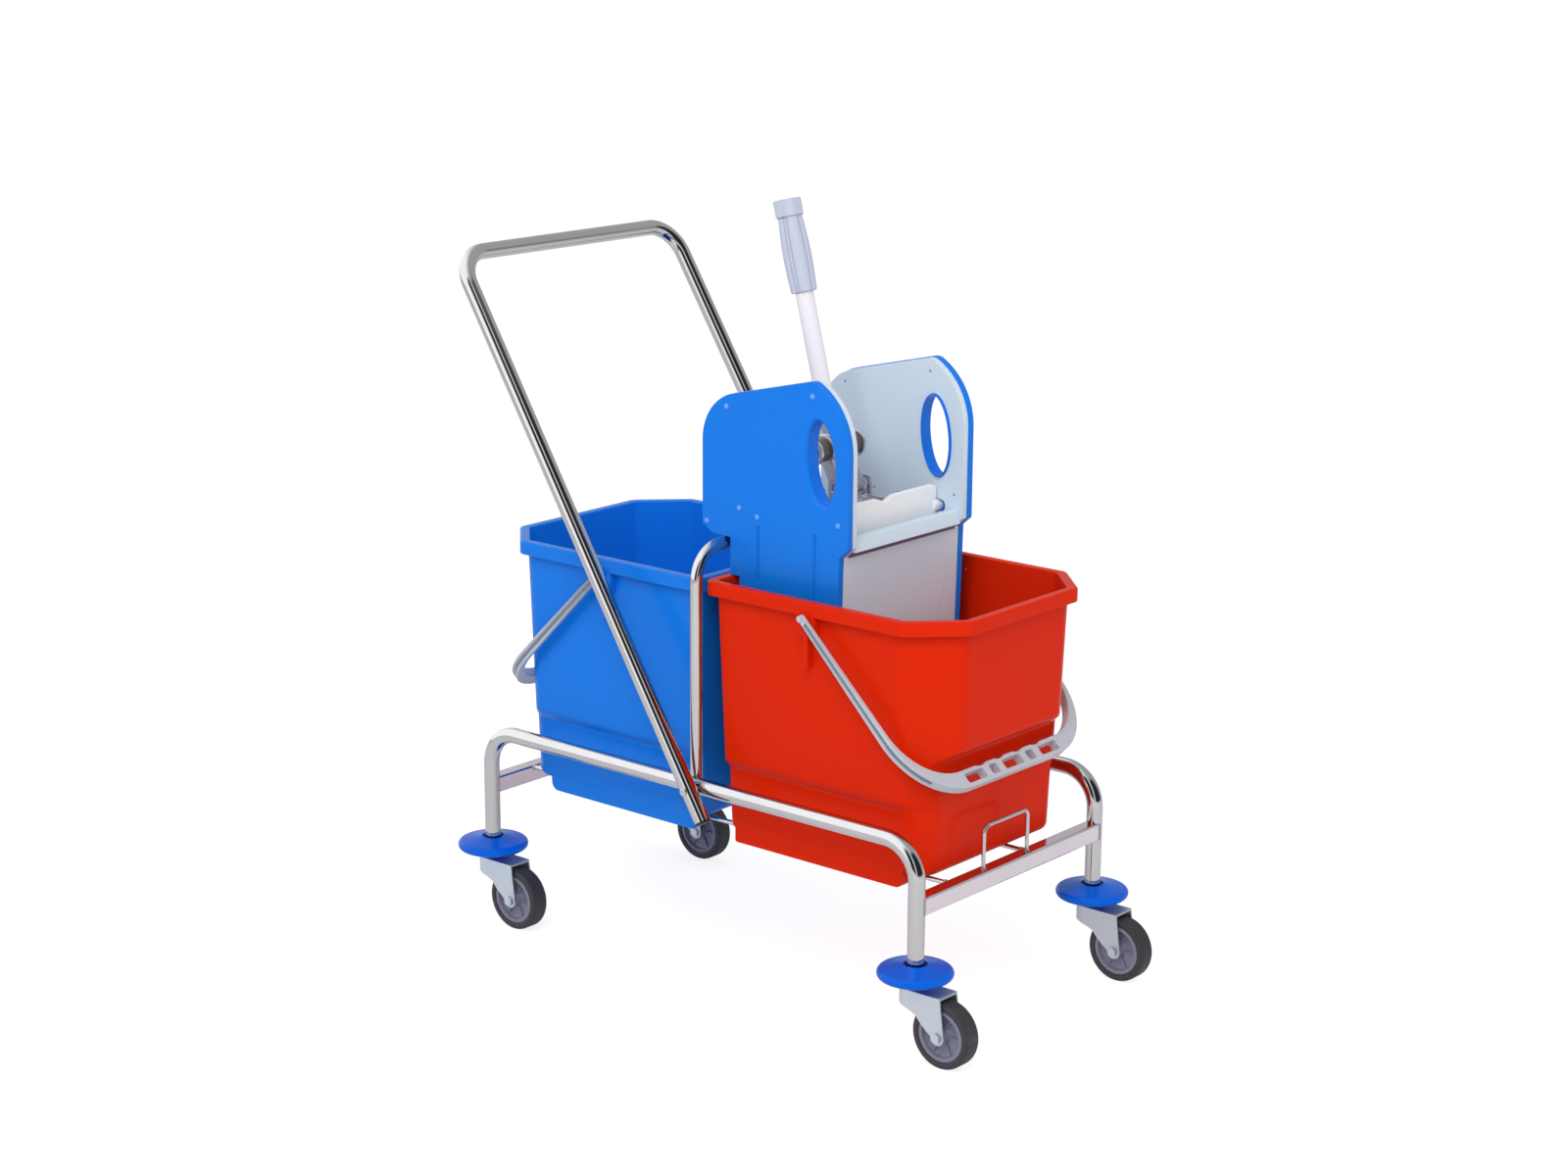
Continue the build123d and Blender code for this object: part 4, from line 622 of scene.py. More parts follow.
def plastic(name, tint, gloss, drift, scuff=0.05, grain=900.0, bump=0.06, sheen=0.5):
    """Moulded plastic finish."""
    values = {"Colour": (*tint, 1), "Gloss": gloss, "Drift": drift, "Scuff": scuff, "Grain": grain}
    return new_material(name, moulded_group(), values, bump, sheen=sheen)


def metal(name, tint, gloss, lines, stretch, bump):
    """Bare or plated metal finish."""
    values = {"Colour": (*tint, 1), "Gloss": gloss, "Lines": lines, "Stretch": stretch}
    return new_material(name, metal_group(), values, bump, metallic=1.0)


@cache
def finishes():
    """All finishes of the trolley by name, made once."""
    tints = bpy.context.scene.trolley_colours
    even, drawn_up, drawn_across = (700, 700, 700), (900, 900, 80), (900, 80, 900)
    return {
        "blue_plastic": plastic("Blue plastic", tints.blue, 0.2, 0.03, 0.006, sheen=0.12),
        "red_plastic": plastic("Red plastic", tints.red, 0.2, 0.03, 0.003, sheen=0.05),
        "bumper_plastic": plastic("Bumper plastic", tints.bumper, 0.18, 0.03, 0.012, sheen=0.12),
        # Screw finish: paler blue that is partly painted highlight.
        "screw_blue_and_highlight": plastic("Screw blue and painted highlight", tints.screw, 0.2, 0.03, 0.012),
        "bush_plastic": plastic("Bush plastic", tints.bush, 0.35, 0.2, 0.03),
        # Dark finish of the strip of painted shadow under the wringer's ledge.
        "painted_shadow_strip": plastic("Painted shadow strip", tints.seam, 0.5, 0.15, 0.03, 500.0, 0.1),
        "bail_plastic": plastic("Bail plastic", tints.bail, 0.3, 0.1),
        # Darker grey of the bail's groove, painted shade for the recess.
        "groove_painted_shade": plastic("Bail groove", tints.groove, 0.3, 0.1),
        "pale_plastic": plastic("Pale plastic", tints.pale, 0.42, 0.05, 0.03, 700.0, 0.1),
        "grey_plastic": plastic("Grey plastic", tints.grey, 0.42, 0.05, 0.03, 700.0, 0.1),
        "white_plastic": plastic("White plastic", tints.white, 0.4, 0.05, 0.02, 700.0, 0.1),
        "white_enamel": plastic("White enamel", tints.enamel, 0.25, 0.04, 0.02, 300.0, 0.05),
        "grip_plastic": plastic("Grip plastic", tints.grip, 0.5, 0.08, 0.05, 500.0, 0.2),
        "dark_plastic": plastic("Black plastic", tints.black, 0.45, 0.2, 0.03, 700.0, 0.1),
        "tyre_rubber": plastic("Tyre rubber", tints.tyre, 0.62, 0.25, 0.06, 450.0, 0.35),
        "hub_plastic": plastic("Wheel centre", tints.hub, 0.38, 0.12, 0.05, 700.0, 0.12),
        "chrome_tube": metal("Bright plating", (0.55, 0.545, 0.56), 0.05, 0.06, even, 0.01),
        # Brighter and more mauve than the bright plating of the other tubes; the difference is painted
        # reflection on the crossbars.
        "bar_painted_reflection": metal("Crossbar plating with painted reflection", (0.72, 0.66, 0.72), 0.12, 0.06, even, 0.01),
        "zinc_sheet": metal("Zinc plating", (0.60, 0.66, 0.72), 0.52, 0.2, drawn_up, 0.05),
        "steel": metal("Turned steel", (0.74, 0.70, 0.73), 0.28, 0.2, drawn_across, 0.06),
    }


# Frame


def hoop_points(node, radius, axis):
    """Path of an upside-down U of tube whose level run follows an axis, from its CAD box."""
    low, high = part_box(node)
    first, last = low[axis] + radius, high[axis] - radius
    top = high.z - radius
    points = []
    for place, z in ((first, low.z), (first, top), (last, top), (last, low.z)):
        point = middle_of(node)
        point[axis] = place
        point.z = z
        points.append(point)
    return points


def handle_points(sizes):
    """Path of the leaning push handle, from its CAD box and the place of its feet."""
    foot_x, foot_z = 14.8 * MM, 222 * MM
    low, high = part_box("push_handle")
    foot_y = high.y - sizes.tube_radius
    top_y = foot_y - sizes.handle_taper
    top_x, top_z = low.x + sizes.tube_radius, high.z - sizes.tube_radius
    halves = ((foot_x, foot_y, foot_z), (top_x, top_y, top_z))
    right = [(x, -y, z) for x, y, z in halves]
    return [*right, *reversed(halves)]


def outer_rods(node, radius):
    """Places in Y of the middle lines of a node's two outer rods."""
    low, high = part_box(node)
    return low.y + radius, high.y - radius


class TROLLEY_OT_frame_tubes(bpy.types.Operator):
    """Bend the plated tubes: side rails, push handle, arch, rods and wire stop"""

    bl_idname = "trolley.frame_tubes"
    bl_label = "Frame tubes"

    def execute(self, context):
        sizes = context.scene.trolley_sizes
        radius, thin, wire = sizes.tube_radius, sizes.arch_radius, sizes.hoop_radius
        for hand in SIDES:
            node = f"side_rail_{hand}"
            self.bend(node, "tube", hoop_points(node, radius, ALONG), radius, sizes.rail_bend, sides=56)
        self.bend("push_handle", "tube", handle_points(sizes), radius, sizes.handle_bend, sides=56)
        self.bend("arch", "tube", hoop_points("arch", thin, ACROSS), thin, sizes.arch_bend, sides=48)
        points = hoop_points("bucket_stop", wire, ACROSS)
        self.bend("bucket_stop", "wire", points, wire, sizes.hoop_bend, sides=40)
        low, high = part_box("bucket_rods")
        z = middle_of("bucket_rods").z
        rods = [
            bent_tube(f"bucket_rod_{i}", [(low.x, y, z), (high.x, y, z)], sizes.rod_radius, sides=24)
            for i, y in enumerate(outer_rods("bucket_rods", sizes.rod_radius))
        ]
        dress(joined(*rods), "frame", "chrome_tube", "bucket_rods")
        return {"FINISHED"}

    def bend(self, node, kind, points, radius, bend, sides):
        """Put a bent tube in the place of its CAD node."""
        tube = bent_tube(f"{node}_{kind}", points, radius, bend, sides)
        dress(tube, "frame", "chrome_tube", node)


class TROLLEY_OT_crossbars(bpy.types.Operator):
    """Make the square crossbars with rounded corners"""

    bl_idname = "trolley.crossbars"
    bl_label = "Crossbars"

    def execute(self, context):
        corner = context.scene.trolley_sizes.bar_corner
        for end in ("front", "rear"):
            node = f"crossbar_{end}"
            low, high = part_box(node)
            plan = rounded_outline(rectangle(low.x, low.z, high.x, high.z), corner, steps=6)
            piece = even_shading(bar(f"{node}_bar", plan, low.y, high.y))
            # The crossbars' own copy of the plating carries painted reflection.
            dress(piece, "frame", "chrome_tube", node, finish="bar_painted_reflection")
        return {"FINISHED"}


class TROLLEY_OT_welds(bpy.types.Operator):
    """Lay small weld beads where the frame's pieces meet"""

    bl_idname = "trolley.welds"
    bl_label = "Welds"

    def execute(self, context):
        sizes = context.scene.trolley_sizes
        bead = sizes.weld_bead
        pitch = 1.3 * bead
        rows = [
            grown(
                f"weld_{i}", path_mesh(loop, loop=True), weld_tree(), "chrome_tube",
                Bead=bead, Pitch=pitch, Seed=i,
            )
            for i, loop in enumerate(self.seams(sizes))
        ]
        welds = joined(*rows)
        welds.name = "frame_welds"
        dress(welds, "frame", "chrome_tube")
        return {"FINISHED"}

    def seams(self, sizes):
        """Closed paths round the ends of the crossbars, the rods and the wire stop."""
        into_leg = 0.12 * sizes.tube_radius
        loops = []
        for end in ("front", "rear"):
            low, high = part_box(f"crossbar_{end}")
            corners = rectangle(low.x, low.z, high.x, high.z)
            plan = rounded_outline(corners, sizes.bar_corner, steps=4)
            for side in SIDES.values():
                loops.append([(x, side * (high.y - into_leg), z) for x, z in plan])
        low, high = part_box("bucket_rods")
        for y in outer_rods("bucket_rods", sizes.rod_radius):
            ring = circle((y, middle_of("bucket_rods").z), sizes.rod_radius)
            loops += [[(x, u, v) for u, v in ring] for x in (low.x, high.x)]
        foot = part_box("bucket_stop")[0].z
        for y in outer_rods("bucket_stop", sizes.hoop_radius):
            ring = circle((middle_of("bucket_stop").x, y), sizes.hoop_radius)
            loops.append([(u, v, foot) for u, v in ring])
        return loops


def low_heads(shape):
    """Make the heads of the handle's bolts small and low."""
    lowering, width, near = 0.7, 0.66, 0.1 * MM
    middle = middle_of("handle_bolts")
    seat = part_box("handle_bolts")[1].y - bpy.context.scene.trolley_sizes.bolt_head
    for point in shape.verts:
        rise = abs(point.co.y) - seat
        if rise > -near:
            point.co.y -= copysign(lowering * max(rise, 0), point.co.y)
            point.co.x = middle.x + width * (point.co.x - middle.x)
            point.co.z = middle.z + width * (point.co.z - middle.z)


class TROLLEY_OT_handle_fittings(bpy.types.Operator):
    """Finish the bolts and stoppers of the push handle"""

    bl_idname = "trolley.handle_fittings"
    bl_label = "Handle bolts and stoppers"

    def execute(self, context):
        bolt_edge, plug_edge = 0.3 * MM, 1.0 * MM
        softened("handle_bolts", bolt_edge, "frame", "chrome_tube", reshape=low_heads)
        softened("handle_plugs", plug_edge, "frame", "dark_plastic")
        return {"FINISHED"}


# Casters


class TROLLEY_OT_bumpers(bpy.types.Operator):
    """Turn the round bumpers and the black rings of painted shadow round the legs"""

    bl_idname = "trolley.bumpers"
    bl_label = "Bumpers"

    def execute(self, context):
        socket = [(10.1, 98.9), (6.1, 98.9), (6.1, 88.3), (17.0, 88.3), (18.0, 89.3)]
        underside = [(18.0, 96.0), (19.5, 97.5)]
        edge = arc((39.0, 103.5), 6.0, -90, 80, steps=14)
        dish = [(33.0, 110.3), (26.0, 111.8), (19.0, 113.2), (15.6, 114.1)]
        neck = [(14.9, 114.5), (13.8, 114.3), (13.4, 112.6), (13.2, 110.0), (10.1, 110.0)]
        # A black ring in the bumper's neck round the leg: painted shadow where the leg sinks into the
        # bumper.
        shadow_ring = [(10.05, 109.8), (13.3, 109.8), (13.3, 111.6), (12.9, 112.2), (10.6, 112.2), (10.05, 111.7)]
        profile = socket + underside + edge + dish + neck
        upright = (0, 0, 1)
        for corner in CORNERS:
            leg = middle_of(f"bumper_{corner}") * Vector((1, 1, 0))
            disc = turned(f"bumper_{corner}_disc", profile, leg, upright)
            dress(even_shading(disc, sharp=50), "frame", "bumper_plastic", f"bumper_{corner}")
            # The ring's black finish is painted shadow.
            ring = turned(f"leg_shadow_ring_{corner}", shadow_ring, leg, upright, steps=64)
            dress(even_shading(ring), "frame", "dark_plastic")
        return {"FINISHED"}


def lean_nose(shape):
    """Lean the front edge of a fork's cheeks back towards the top."""
    sizes = bpy.context.scene.trolley_sizes
    top = max(point.co.z for point in shape.verts)
    axle_x = max(point.co.x for point in shape.verts) - sizes.fork_nose
    axle_z = min(point.co.z for point in shape.verts) + sizes.fork_nose
    for point in shape.verts:
        if point.co.x > axle_x and point.co.z > axle_z:
            point.co.x -= sizes.nose_lean * (point.co.z - axle_z) / (top - axle_z)


class TROLLEY_OT_casters(bpy.types.Operator):
    """Finish the caster forks, stems and axle bolts"""

    bl_idname = "trolley.casters"
    bl_label = "Casters"

    def execute(self, context):
        sizes = context.scene.trolley_sizes
        cheek_edge = 1.5 * sizes.sheet_edge
        for corner in CORNERS:
            body = f"swivel_{corner}"
            fork = f"caster_fork_{corner}"
            softened(fork, cheek_edge, body, "zinc_sheet", reshape=lean_nose)
            dress(self.round_back(fork, sizes), body, "zinc_sheet")
            softened(f"caster_axle_{corner}", sizes.sheet_edge, body, "zinc_sheet")
            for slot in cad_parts[f"caster_stem_{corner}"].material_slots:
                slot.material = finishes()["steel"]
        return {"FINISHED"}

    def round_back(self, fork, sizes):
        """Sheet that runs round the back of a fork from cheek to cheek."""
        inside, below_top = 0.15 * MM, 1.5 * MM
        low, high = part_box(fork)
        half = (high.y - low.y) / 2 - inside
        head, lap, sheet = sizes.fork_head, sizes.fork_lap, sizes.fork_sheet
        angles = [radians(degrees) for degrees in range(-90, 91, 10)]
        plan = [(lap, -1, 0), (lap / 2, -1, 0)]
        plan += [((inside - head) * cos(a), sin(a), cos(a)) for a in angles]
        plan += [(lap / 2, 1, 0), (lap, 1, 0)]
        top = high.z - below_top
        rings = []
        for x, side, back in plan:
            sweep = ((x + head) / (lap + head)) ** 2
            foot = high.z - sizes.fork_skirt - sizes.fork_sweep * sweep
            outer = (low.x + head + x, (low.y + high.y) / 2 + side * half)
            inner = (outer[0] + back * sheet, outer[1] - side * sheet)
            rings.append([(*outer, foot), (*outer, top), (*inner, top), (*inner, foot)])
        return even_shading(skin(fork + "_back", rings), sharp=40)


def both_faces(profile):
    """Closed profile from one that is drawn for one face of a wheel."""
    return profile + [(radius, -height) for radius, height in reversed(profile)]


class TROLLEY_OT_wheels(bpy.types.Operator):
    """Turn the tyres and the dished wheel centres with their ribs"""

    bl_idname = "trolley.wheels"
    bl_label = "Wheels"

    def execute(self, context):
        bead = [(31.1, 10.6), (31.6, 11.6), (32.8, 12.2), (34.4, 12.5)]
        tread = arc((35.2, 7.5), 4.8, 88, 14, steps=9) + [(39.98, 4.0)]
        boss = [(4.1, 12.3), (4.4, 12.5), (8.2, 12.5), (8.8, 12.0), (9.4, 6.0)]
        dish = [(10.6, 4.6), (13.0, 4.0), (22.0, 4.6), (24.6, 5.4), (25.6, 6.6)]
        rim = [(26.0, 10.4), (26.4, 10.9), (28.0, 11.1), (30.4, 10.9), (30.95, 10.4)]
        tyre, centre = both_faces(bead + tread), both_faces(boss + dish + rim)
        across = (0, 1, 0)
        count = context.scene.trolley_sizes.hub_ribs
        for corner in CORNERS:
            middle = middle_of(f"wheel_tyre_{corner}")
            body = f"wheel_{corner}"
            ring = turned(f"tyre_{corner}", tyre, middle, across)
            dress(even_shading(ring, sharp=45), body, "tyre_rubber", f"wheel_tyre_{corner}")
            disc = turned(f"wheel_centre_{corner}", centre, middle, across)
            ribs = grown(
                f"ribs_{corner}", point_mesh([(0, 0, 0)]), rib_tree(), "hub_plastic", Count=count,
                Inner=9.0 * MM, Outer=26.0 * MM, Width=1.8 * MM, Height=14.0 * MM,
            )
            ribs.data.transform(Matrix.Translation(middle) @ Matrix.Rotation(radians(90), 4, "X"))
            joined(disc, ribs)
            dress(even_shading(disc, sharp=40), body, "hub_plastic", f"wheel_hub_{corner}")
        return {"FINISHED"}


# Buckets


class BucketForm:
    """Rings of one bucket, from its sizes."""

    def __init__(self, sizes, end):
        self.sizes = sizes
        self.end = end

    def insets(self, z):
        """Inset of side walls and end walls from the rim, and the step at the outer end."""
        b = self.sizes
        drop = b.top - z
        low_step = smooth_step(287 * MM, 273 * MM, z)
        shoulder = smooth_step(350 * MM, 332 * MM, z)
        side = b.overhang + drop * tan(b.side_draft) + b.side_step * low_step
        return side, b.overhang + drop * tan(b.end_draft), b.front_step * shoulder

    def ring(self, z, side, end, step, radius, outer_radius=0.0):
        """Plan of the bucket at a height, with cut corners at its outer end."""
        b = self.sizes
        inner = b.gap / 2 + end
        outer = b.gap / 2 + b.length - end
        half = b.width / 2 - side
        cut = b.cut - (2 - sqrt(2)) * side
        corners = [
            (inner, -half),
            (outer - cut, -half),
            (outer - step, -half + cut - step),
            (outer - step, half - cut + step),
            (outer - cut, half),
            (inner, half),
        ]
        soft = max(radius, outer_radius)
        plan = rounded_outline(corners, (radius, soft, soft, soft, soft, radius), steps=8)
        return [(self.end * p.x + BETWEEN_BUCKETS, p.y, z) for p in plan]

    def wall_ring(self, z, inset=0.0):
        """Ring of the wall at a height, with an extra inset."""
        side, end, step = self.insets(z)
        radius = max(self.sizes.wall_corner - inset, 2 * MM)
        return self.ring(z, side + inset, end + inset, step, radius, self.sizes.cut_corner - inset)

    def rim_ring(self, z, inset):
        """Ring of the folded rim."""
        return self.ring(z, inset, inset, 0, self.sizes.rim_corner - inset)

    def mouth_ring(self, drop, inset):
        """Ring between the rim and the inside of the wall, from millimetres."""
        b = self.sizes
        side = b.overhang + b.wall - inset * MM
        return self.ring(b.top - drop * MM, side, side, 0, b.wall_corner - b.wall + inset * MM)

    def bottom_rings(self, inset, angles):
        """Rings round the bottom edge, outside or inside."""
        b = self.sizes
        r = b.bottom_round
        return [
            self.wall_ring(b.bottom + inset + r * (1 - cos(a)), inset + r * (1 - sin(a)))
            for a in (radians(degrees) for degrees in angles)
        ]

    def rings(self):
        """All rings, from under the floor up the wall, over the rim and down the inside."""
        b = self.sizes
        fold, edge = 1.5 * MM, 0.8 * MM
        low_step = [258, 268, 271, *range(273, 288, 2), 290]
        shoulder = [326, 330, 334, 337, *range(339, 346, 2), 348, 352]
        heights = [z * MM for z in (230, *low_step, *shoulder, 380, 420, 460, 485)]
        under = b.top - b.wall
        low = b.top - b.skirt
        inside_skirt = [(under, b.wall + fold), (under - fold, b.wall), (low + edge, b.wall)]
        outside_skirt = [(low, b.wall - edge), (low, edge), (low + edge, 0)]
        lip = [
            (b.top - b.lip * (1 - sin(a)), b.lip * (1 - cos(a)))
            for a in (radians(degrees) for degrees in range(0, 91, 18))
        ]
        mouth = [(0, 2.2), (0.3, 1.2), (0.9, 0.4), (2.2, 0)]
        made = self.bottom_rings(0.0, range(0, 91, 15))
        made += [self.wall_ring(z) for z in heights]
        made += [self.wall_ring(under - fold), self.wall_ring(under, -fold)]
        made += [self.rim_ring(*place) for place in inside_skirt + outside_skirt + lip]
        made += [self.mouth_ring(*place) for place in mouth]
        made += [self.wall_ring(z, b.wall) for z in reversed(heights)]
        return made + self.bottom_rings(b.wall, range(90, -1, -15))


class TROLLEY_OT_buckets(bpy.types.Operator):
    """Mould the two buckets with rim, ears, ribs and skids"""

    bl_idname = "trolley.buckets"
    bl_label = "Buckets"

    def execute(self, context):
        for name, end in BUCKETS.items():
            form = BucketForm(context.scene.bucket_sizes, end)
            tub = skin(f"{name}_tub", form.rings())
            shape = bmesh.new()
            shape.from_mesh(tub.data)
            for side in SIDES.values():
                self.add_ear(shape, form, name, side)
            shape.to_mesh(tub.data)
            shape.free()
            skids = [self.skid(form, f"{name}_skid_{hand}", side) for hand, side in SIDES.items()]
            joined(tub, *skids)
            dress(even_shading(tub, sharp=45), f"{name}_bucket", f"{name}_plastic", f"bucket_{name}")
        return {"FINISHED"}

    def add_ear(self, shape, form, name, side):
        """Add the ear, its rib and the boss of a bail's pivot to one side of a tub."""
        boss_radius, inside_bail = 6 * MM, 6.5 * MM
        b = form.sizes
        pivot = middle_of(f"bail_pins_{name}")
        wall = b.width / 2 - form.insets(pivot.z)[0] - b.wall / 2
        ear = b.width / 2 - wall
        for drop, wide, tall, edge in ((12, 26, 24, 2), (42, 7, 40, 1.4)):
            middle = (pivot.x, side * (wall + ear / 2), b.top - b.skirt - drop * MM)
            add_block(shape, middle, (wide * MM, ear, tall * MM), edge * MM)
        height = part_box(f"bail_{name}")[1].y - inside_bail - wall
        add_boss(shape, (pivot.x, side * wall, pivot.z), boss_radius, height, side)

    def skid(self, form, name, side):
        """A skid under one side of a bucket, with a round toe at the outer end."""
        b = form.sizes
        heel_gap, inset, half = 10 * MM, 8.3 * MM, 8 * MM
        toe_gap = (27 if form.end > 0 else 42) * MM
        below, above = 14 * MM, 12 * MM
        corner, toe = 3 * MM, 11 * MM
        foot_side, foot_end, foot_step = form.insets(b.bottom)
        start = b.gap / 2 + foot_end + heel_gap
        stop = b.gap / 2 + b.length - foot_end - foot_step - toe_gap
        corners = rectangle(start, b.bottom - below, stop, b.bottom + above)
        outline = rounded_outline(corners, (corner, toe, corner, corner), steps=6)
        plan = [(form.end * x + BETWEEN_BUCKETS, z) for x, z in outline]
        middle = b.width / 2 - foot_side - inset
        return bar(name, plan, side * (middle - half), side * (middle + half))


class TROLLEY_OT_bails(bpy.types.Operator):
    """Round the bails and their pivot pins"""

    bl_idname = "trolley.bails"
    bl_label = "Bails"

    def execute(self, context):
        bail_edge, pin_edge = 1.3 * MM, 0.8 * MM
        groove = context.scene.trolley_sizes.groove_width
        for name in BUCKETS:
            bail = softened(f"bail_{name}", bail_edge, f"{name}_bail", "bail_plastic")
            self.shade_groove(bail, name, groove / 2)
            softened(f"bail_pins_{name}", pin_edge, f"{name}_bucket", "bail_plastic")
        return {"FINISHED"}

    def shade_groove(self, bail, name, half):
        """Give the groove round a hanging bail a darker grey, painted shade for the recess."""
        grip_share, margin, steepest = 0.97, 0.3 * MM, 0.5
        pivot = middle_of(f"bail_pins_{name}")
        places = [vertex.co - pivot for vertex in bail.data.vertices]
        reach = max(place.xz.length for place in places)
        grip = [place for place in places if place.xz.length > grip_share * reach]
        along = sum(grip, Vector()).xz.normalized()
        normal = Vector((-along.y, 0, along.x))
        # The second finish paints shade into the groove.
        bail.data.materials.append(finishes()["groove_painted_shade"])
        for face in bail.data.polygons:
            off = max(abs(places[i].dot(normal)) for i in face.vertices)
            if off < half + margin and abs(face.normal.dot(normal)) < steepest:
                face.material_index = 1


# Wringer


def lean_hand_hole(shape):
    """Lean a panel's hand hole, widen it a little and carry its collar further in."""
    middle_x, middle_z = 127 * MM, 662 * MM
    half_width, half_height = 24 * MM, 54 * MM
    widening, near = 1.06, 0.2 * MM
    sizes = bpy.context.scene.trolley_sizes
    collar_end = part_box("wringer_shell_left")[0].y
    for point in shape.verts:
        across = point.co.x - middle_x
        up = point.co.z - middle_z
        if hypot(across / half_width, up / half_height) < 1:
            point.co.x = middle_x + widening * across - up * tan(sizes.hole_lean)
            if abs(abs(point.co.y) - collar_end) < near:
                point.co.y *= 1 - sizes.collar_depth / collar_end


class TROLLEY_OT_wringer_panels(bpy.types.Operator):
    """Round the outer and inner side panels of the wringer"""

    bl_idname = "trolley.wringer_panels"
    bl_label = "Wringer panels"

    def execute(self, context):
        edge = context.scene.trolley_sizes.panel_edge
        liner_edge = 0.6 * edge
        options = {"shortest": 0.3 * MM, "reshape": lean_hand_hole}
        for hand in SIDES:
            softened(f"wringer_shell_{hand}", edge, "wringer", "blue_plastic", **options)
            softened(f"wringer_liner_{hand}", liner_edge, "wringer", "pale_plastic", **options)
        return {"FINISHED"}


class TROLLEY_OT_panel_screws(bpy.types.Operator):
    """Set the domed screws of the side panels"""

    bl_idname = "trolley.panel_screws"
    bl_label = "Panel screws"

    def execute(self, context):
        places = ((4, 711), (135.5, 739), (24, 591), (52, 584), (-27, 568), (175, 592))
        sizes = context.scene.trolley_sizes
        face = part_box("wringer_shell_left")[1].y
        points = [
            (x * MM + BETWEEN_BUCKETS, side * face, z * MM)
            for side in SIDES.values()
            for x, z in places
        ]
        heads = grown(
            "panel_screw_heads", point_mesh(points), screw_tree(), "screw_blue_and_highlight",
            Radius=sizes.screw_radius, Height=sizes.screw_height,
        )
        # The paler screw finish is partly painted highlight on the domes.
        dress(heads, "wringer", "blue_plastic", "panel_screws", finish="screw_blue_and_highlight")
        return {"FINISHED"}


class TROLLEY_OT_wringer_plates(bpy.types.Operator):
    """Round the plates, ledge and floor of the wringer's well and lay the dark strip of painted shadow under
    its ledge
    """

    bl_idname = "trolley.wringer_plates"
    bl_label = "Wringer plates"

    def execute(self, context):
        plates = (
            ("wringer_front_plate", 0.8, "wringer", "grey_plastic"),
            ("wringer_front_lip", 1.4, "wringer", "pale_plastic"),
            ("wringer_back_plate", 0.8, "wringer", "grey_plastic"),
            ("wringer_floor", 0.6, "wringer", "grey_plastic"),
            ("press_plate", 1.2, "press", "white_plastic"),
        )
        for node, edge, body, slot in plates:
            softened(node, edge * MM, body, slot)
        self.add_shadow_strip(context.scene.trolley_sizes.shadow_strip_height)
        return {"FINISHED"}

    def add_shadow_strip(self, height):
        """Lay the dark strip of painted shadow under the ledge, partly sunk in the front plate."""
        sunk, proud, corner = 0.5 * MM, 0.9 * MM, 0.4 * MM
        low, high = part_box("wringer_front_lip")
        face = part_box("wringer_front_plate")[1].x
        corners = rectangle(face - sunk, low.z, face + proud, low.z - height)
        strip = bar("lip_shadow_strip", rounded_outline(corners, corner, steps=4), low.y, high.y)
        dress(even_shading(strip, sharp=40), "wringer", "grey_plastic", finish="painted_shadow_strip")


def lever_axis():
    """Middle of the lever's shaft and the way that the lever points."""
    back = bpy.context.scene.trolley_sizes.lever_lean
    return Vector((50, 0, 652)) * MM, Vector((-sin(back), 0, cos(back)))


def swell_grip(shape):
    """Give the lever's grip a slight barrel form between its foot and its cap."""
    foot, cap, bore, near = 189 * MM, 280 * MM, 11.5 * MM, 0.1 * MM
    stations = 12
    sizes = bpy.context.scene.trolley_sizes
    shaft, along = lever_axis()
    for k in range(1, stations):
        place = shaft + along * (foot + (cap - foot) * k / stations)
        everything = [*shape.verts, *shape.edges, *shape.faces]
        bmesh.ops.bisect_plane(shape, geom=everything, plane_co=place, plane_no=along)
    for point in shape.verts:
        rise = (point.co - shaft).dot(along)
        out = point.co - shaft - along * rise
        share = (rise - foot) / (cap - foot)
        highest = max((edge.other_vert(point).co - shaft).dot(along) for edge in point.link_edges)
        if out.length > bore and max(rise, highest) < cap + near:
            growth = sizes.grip_swell * sin(pi * share) - sizes.grip_neck * share
            point.co += out.normalized() * growth


class TROLLEY_OT_lever(bpy.types.Operator):
    """Make the lever tube and its grip, and finish the mechanism"""

    bl_idname = "trolley.lever"
    bl_label = "Lever"

    def execute(self, context):
        foot, top, grip_edge = 24.1 * MM, 290 * MM, 1.6 * MM
        sizes = context.scene.trolley_sizes
        shaft, along = lever_axis()
        ends = [shaft + along * foot, shaft + along * top]
        stem = bent_tube("lever_stem", ends, sizes.lever_radius, sides=48, finish="white_enamel")
        dress(stem, "lever", "white_enamel", "lever_tube")
        softened("lever_grip", grip_edge, "lever", "grip_plastic", reshape=swell_grip)
        for node in ("lever_hub", "lever_shaft", "crank_pin"):
            softened(node, sizes.sheet_edge, "lever", "steel")
        softened("press_yoke", sizes.sheet_edge, "press", "steel")
        softened("pivot_bracket", sizes.sheet_edge, "wringer", "steel")
        for hand in SIDES:
            bush = f"shaft_bush_{hand}"
            softened(bush, sizes.sheet_edge, "wringer", "dark_plastic", finish="bush_plastic")
        return {"FINISHED"}


# Stage


def cleared_tree(owner):
    """The empty node tree of a material or world."""
    owner.use_nodes = True
    owner.node_tree.nodes.clear()
    return owner.node_tree


def ray(tree, kind):
    """One for rays of a kind, and zero for others."""
    return add_node(tree, "ShaderNodeLightPath", output=f"Is {kind} Ray")


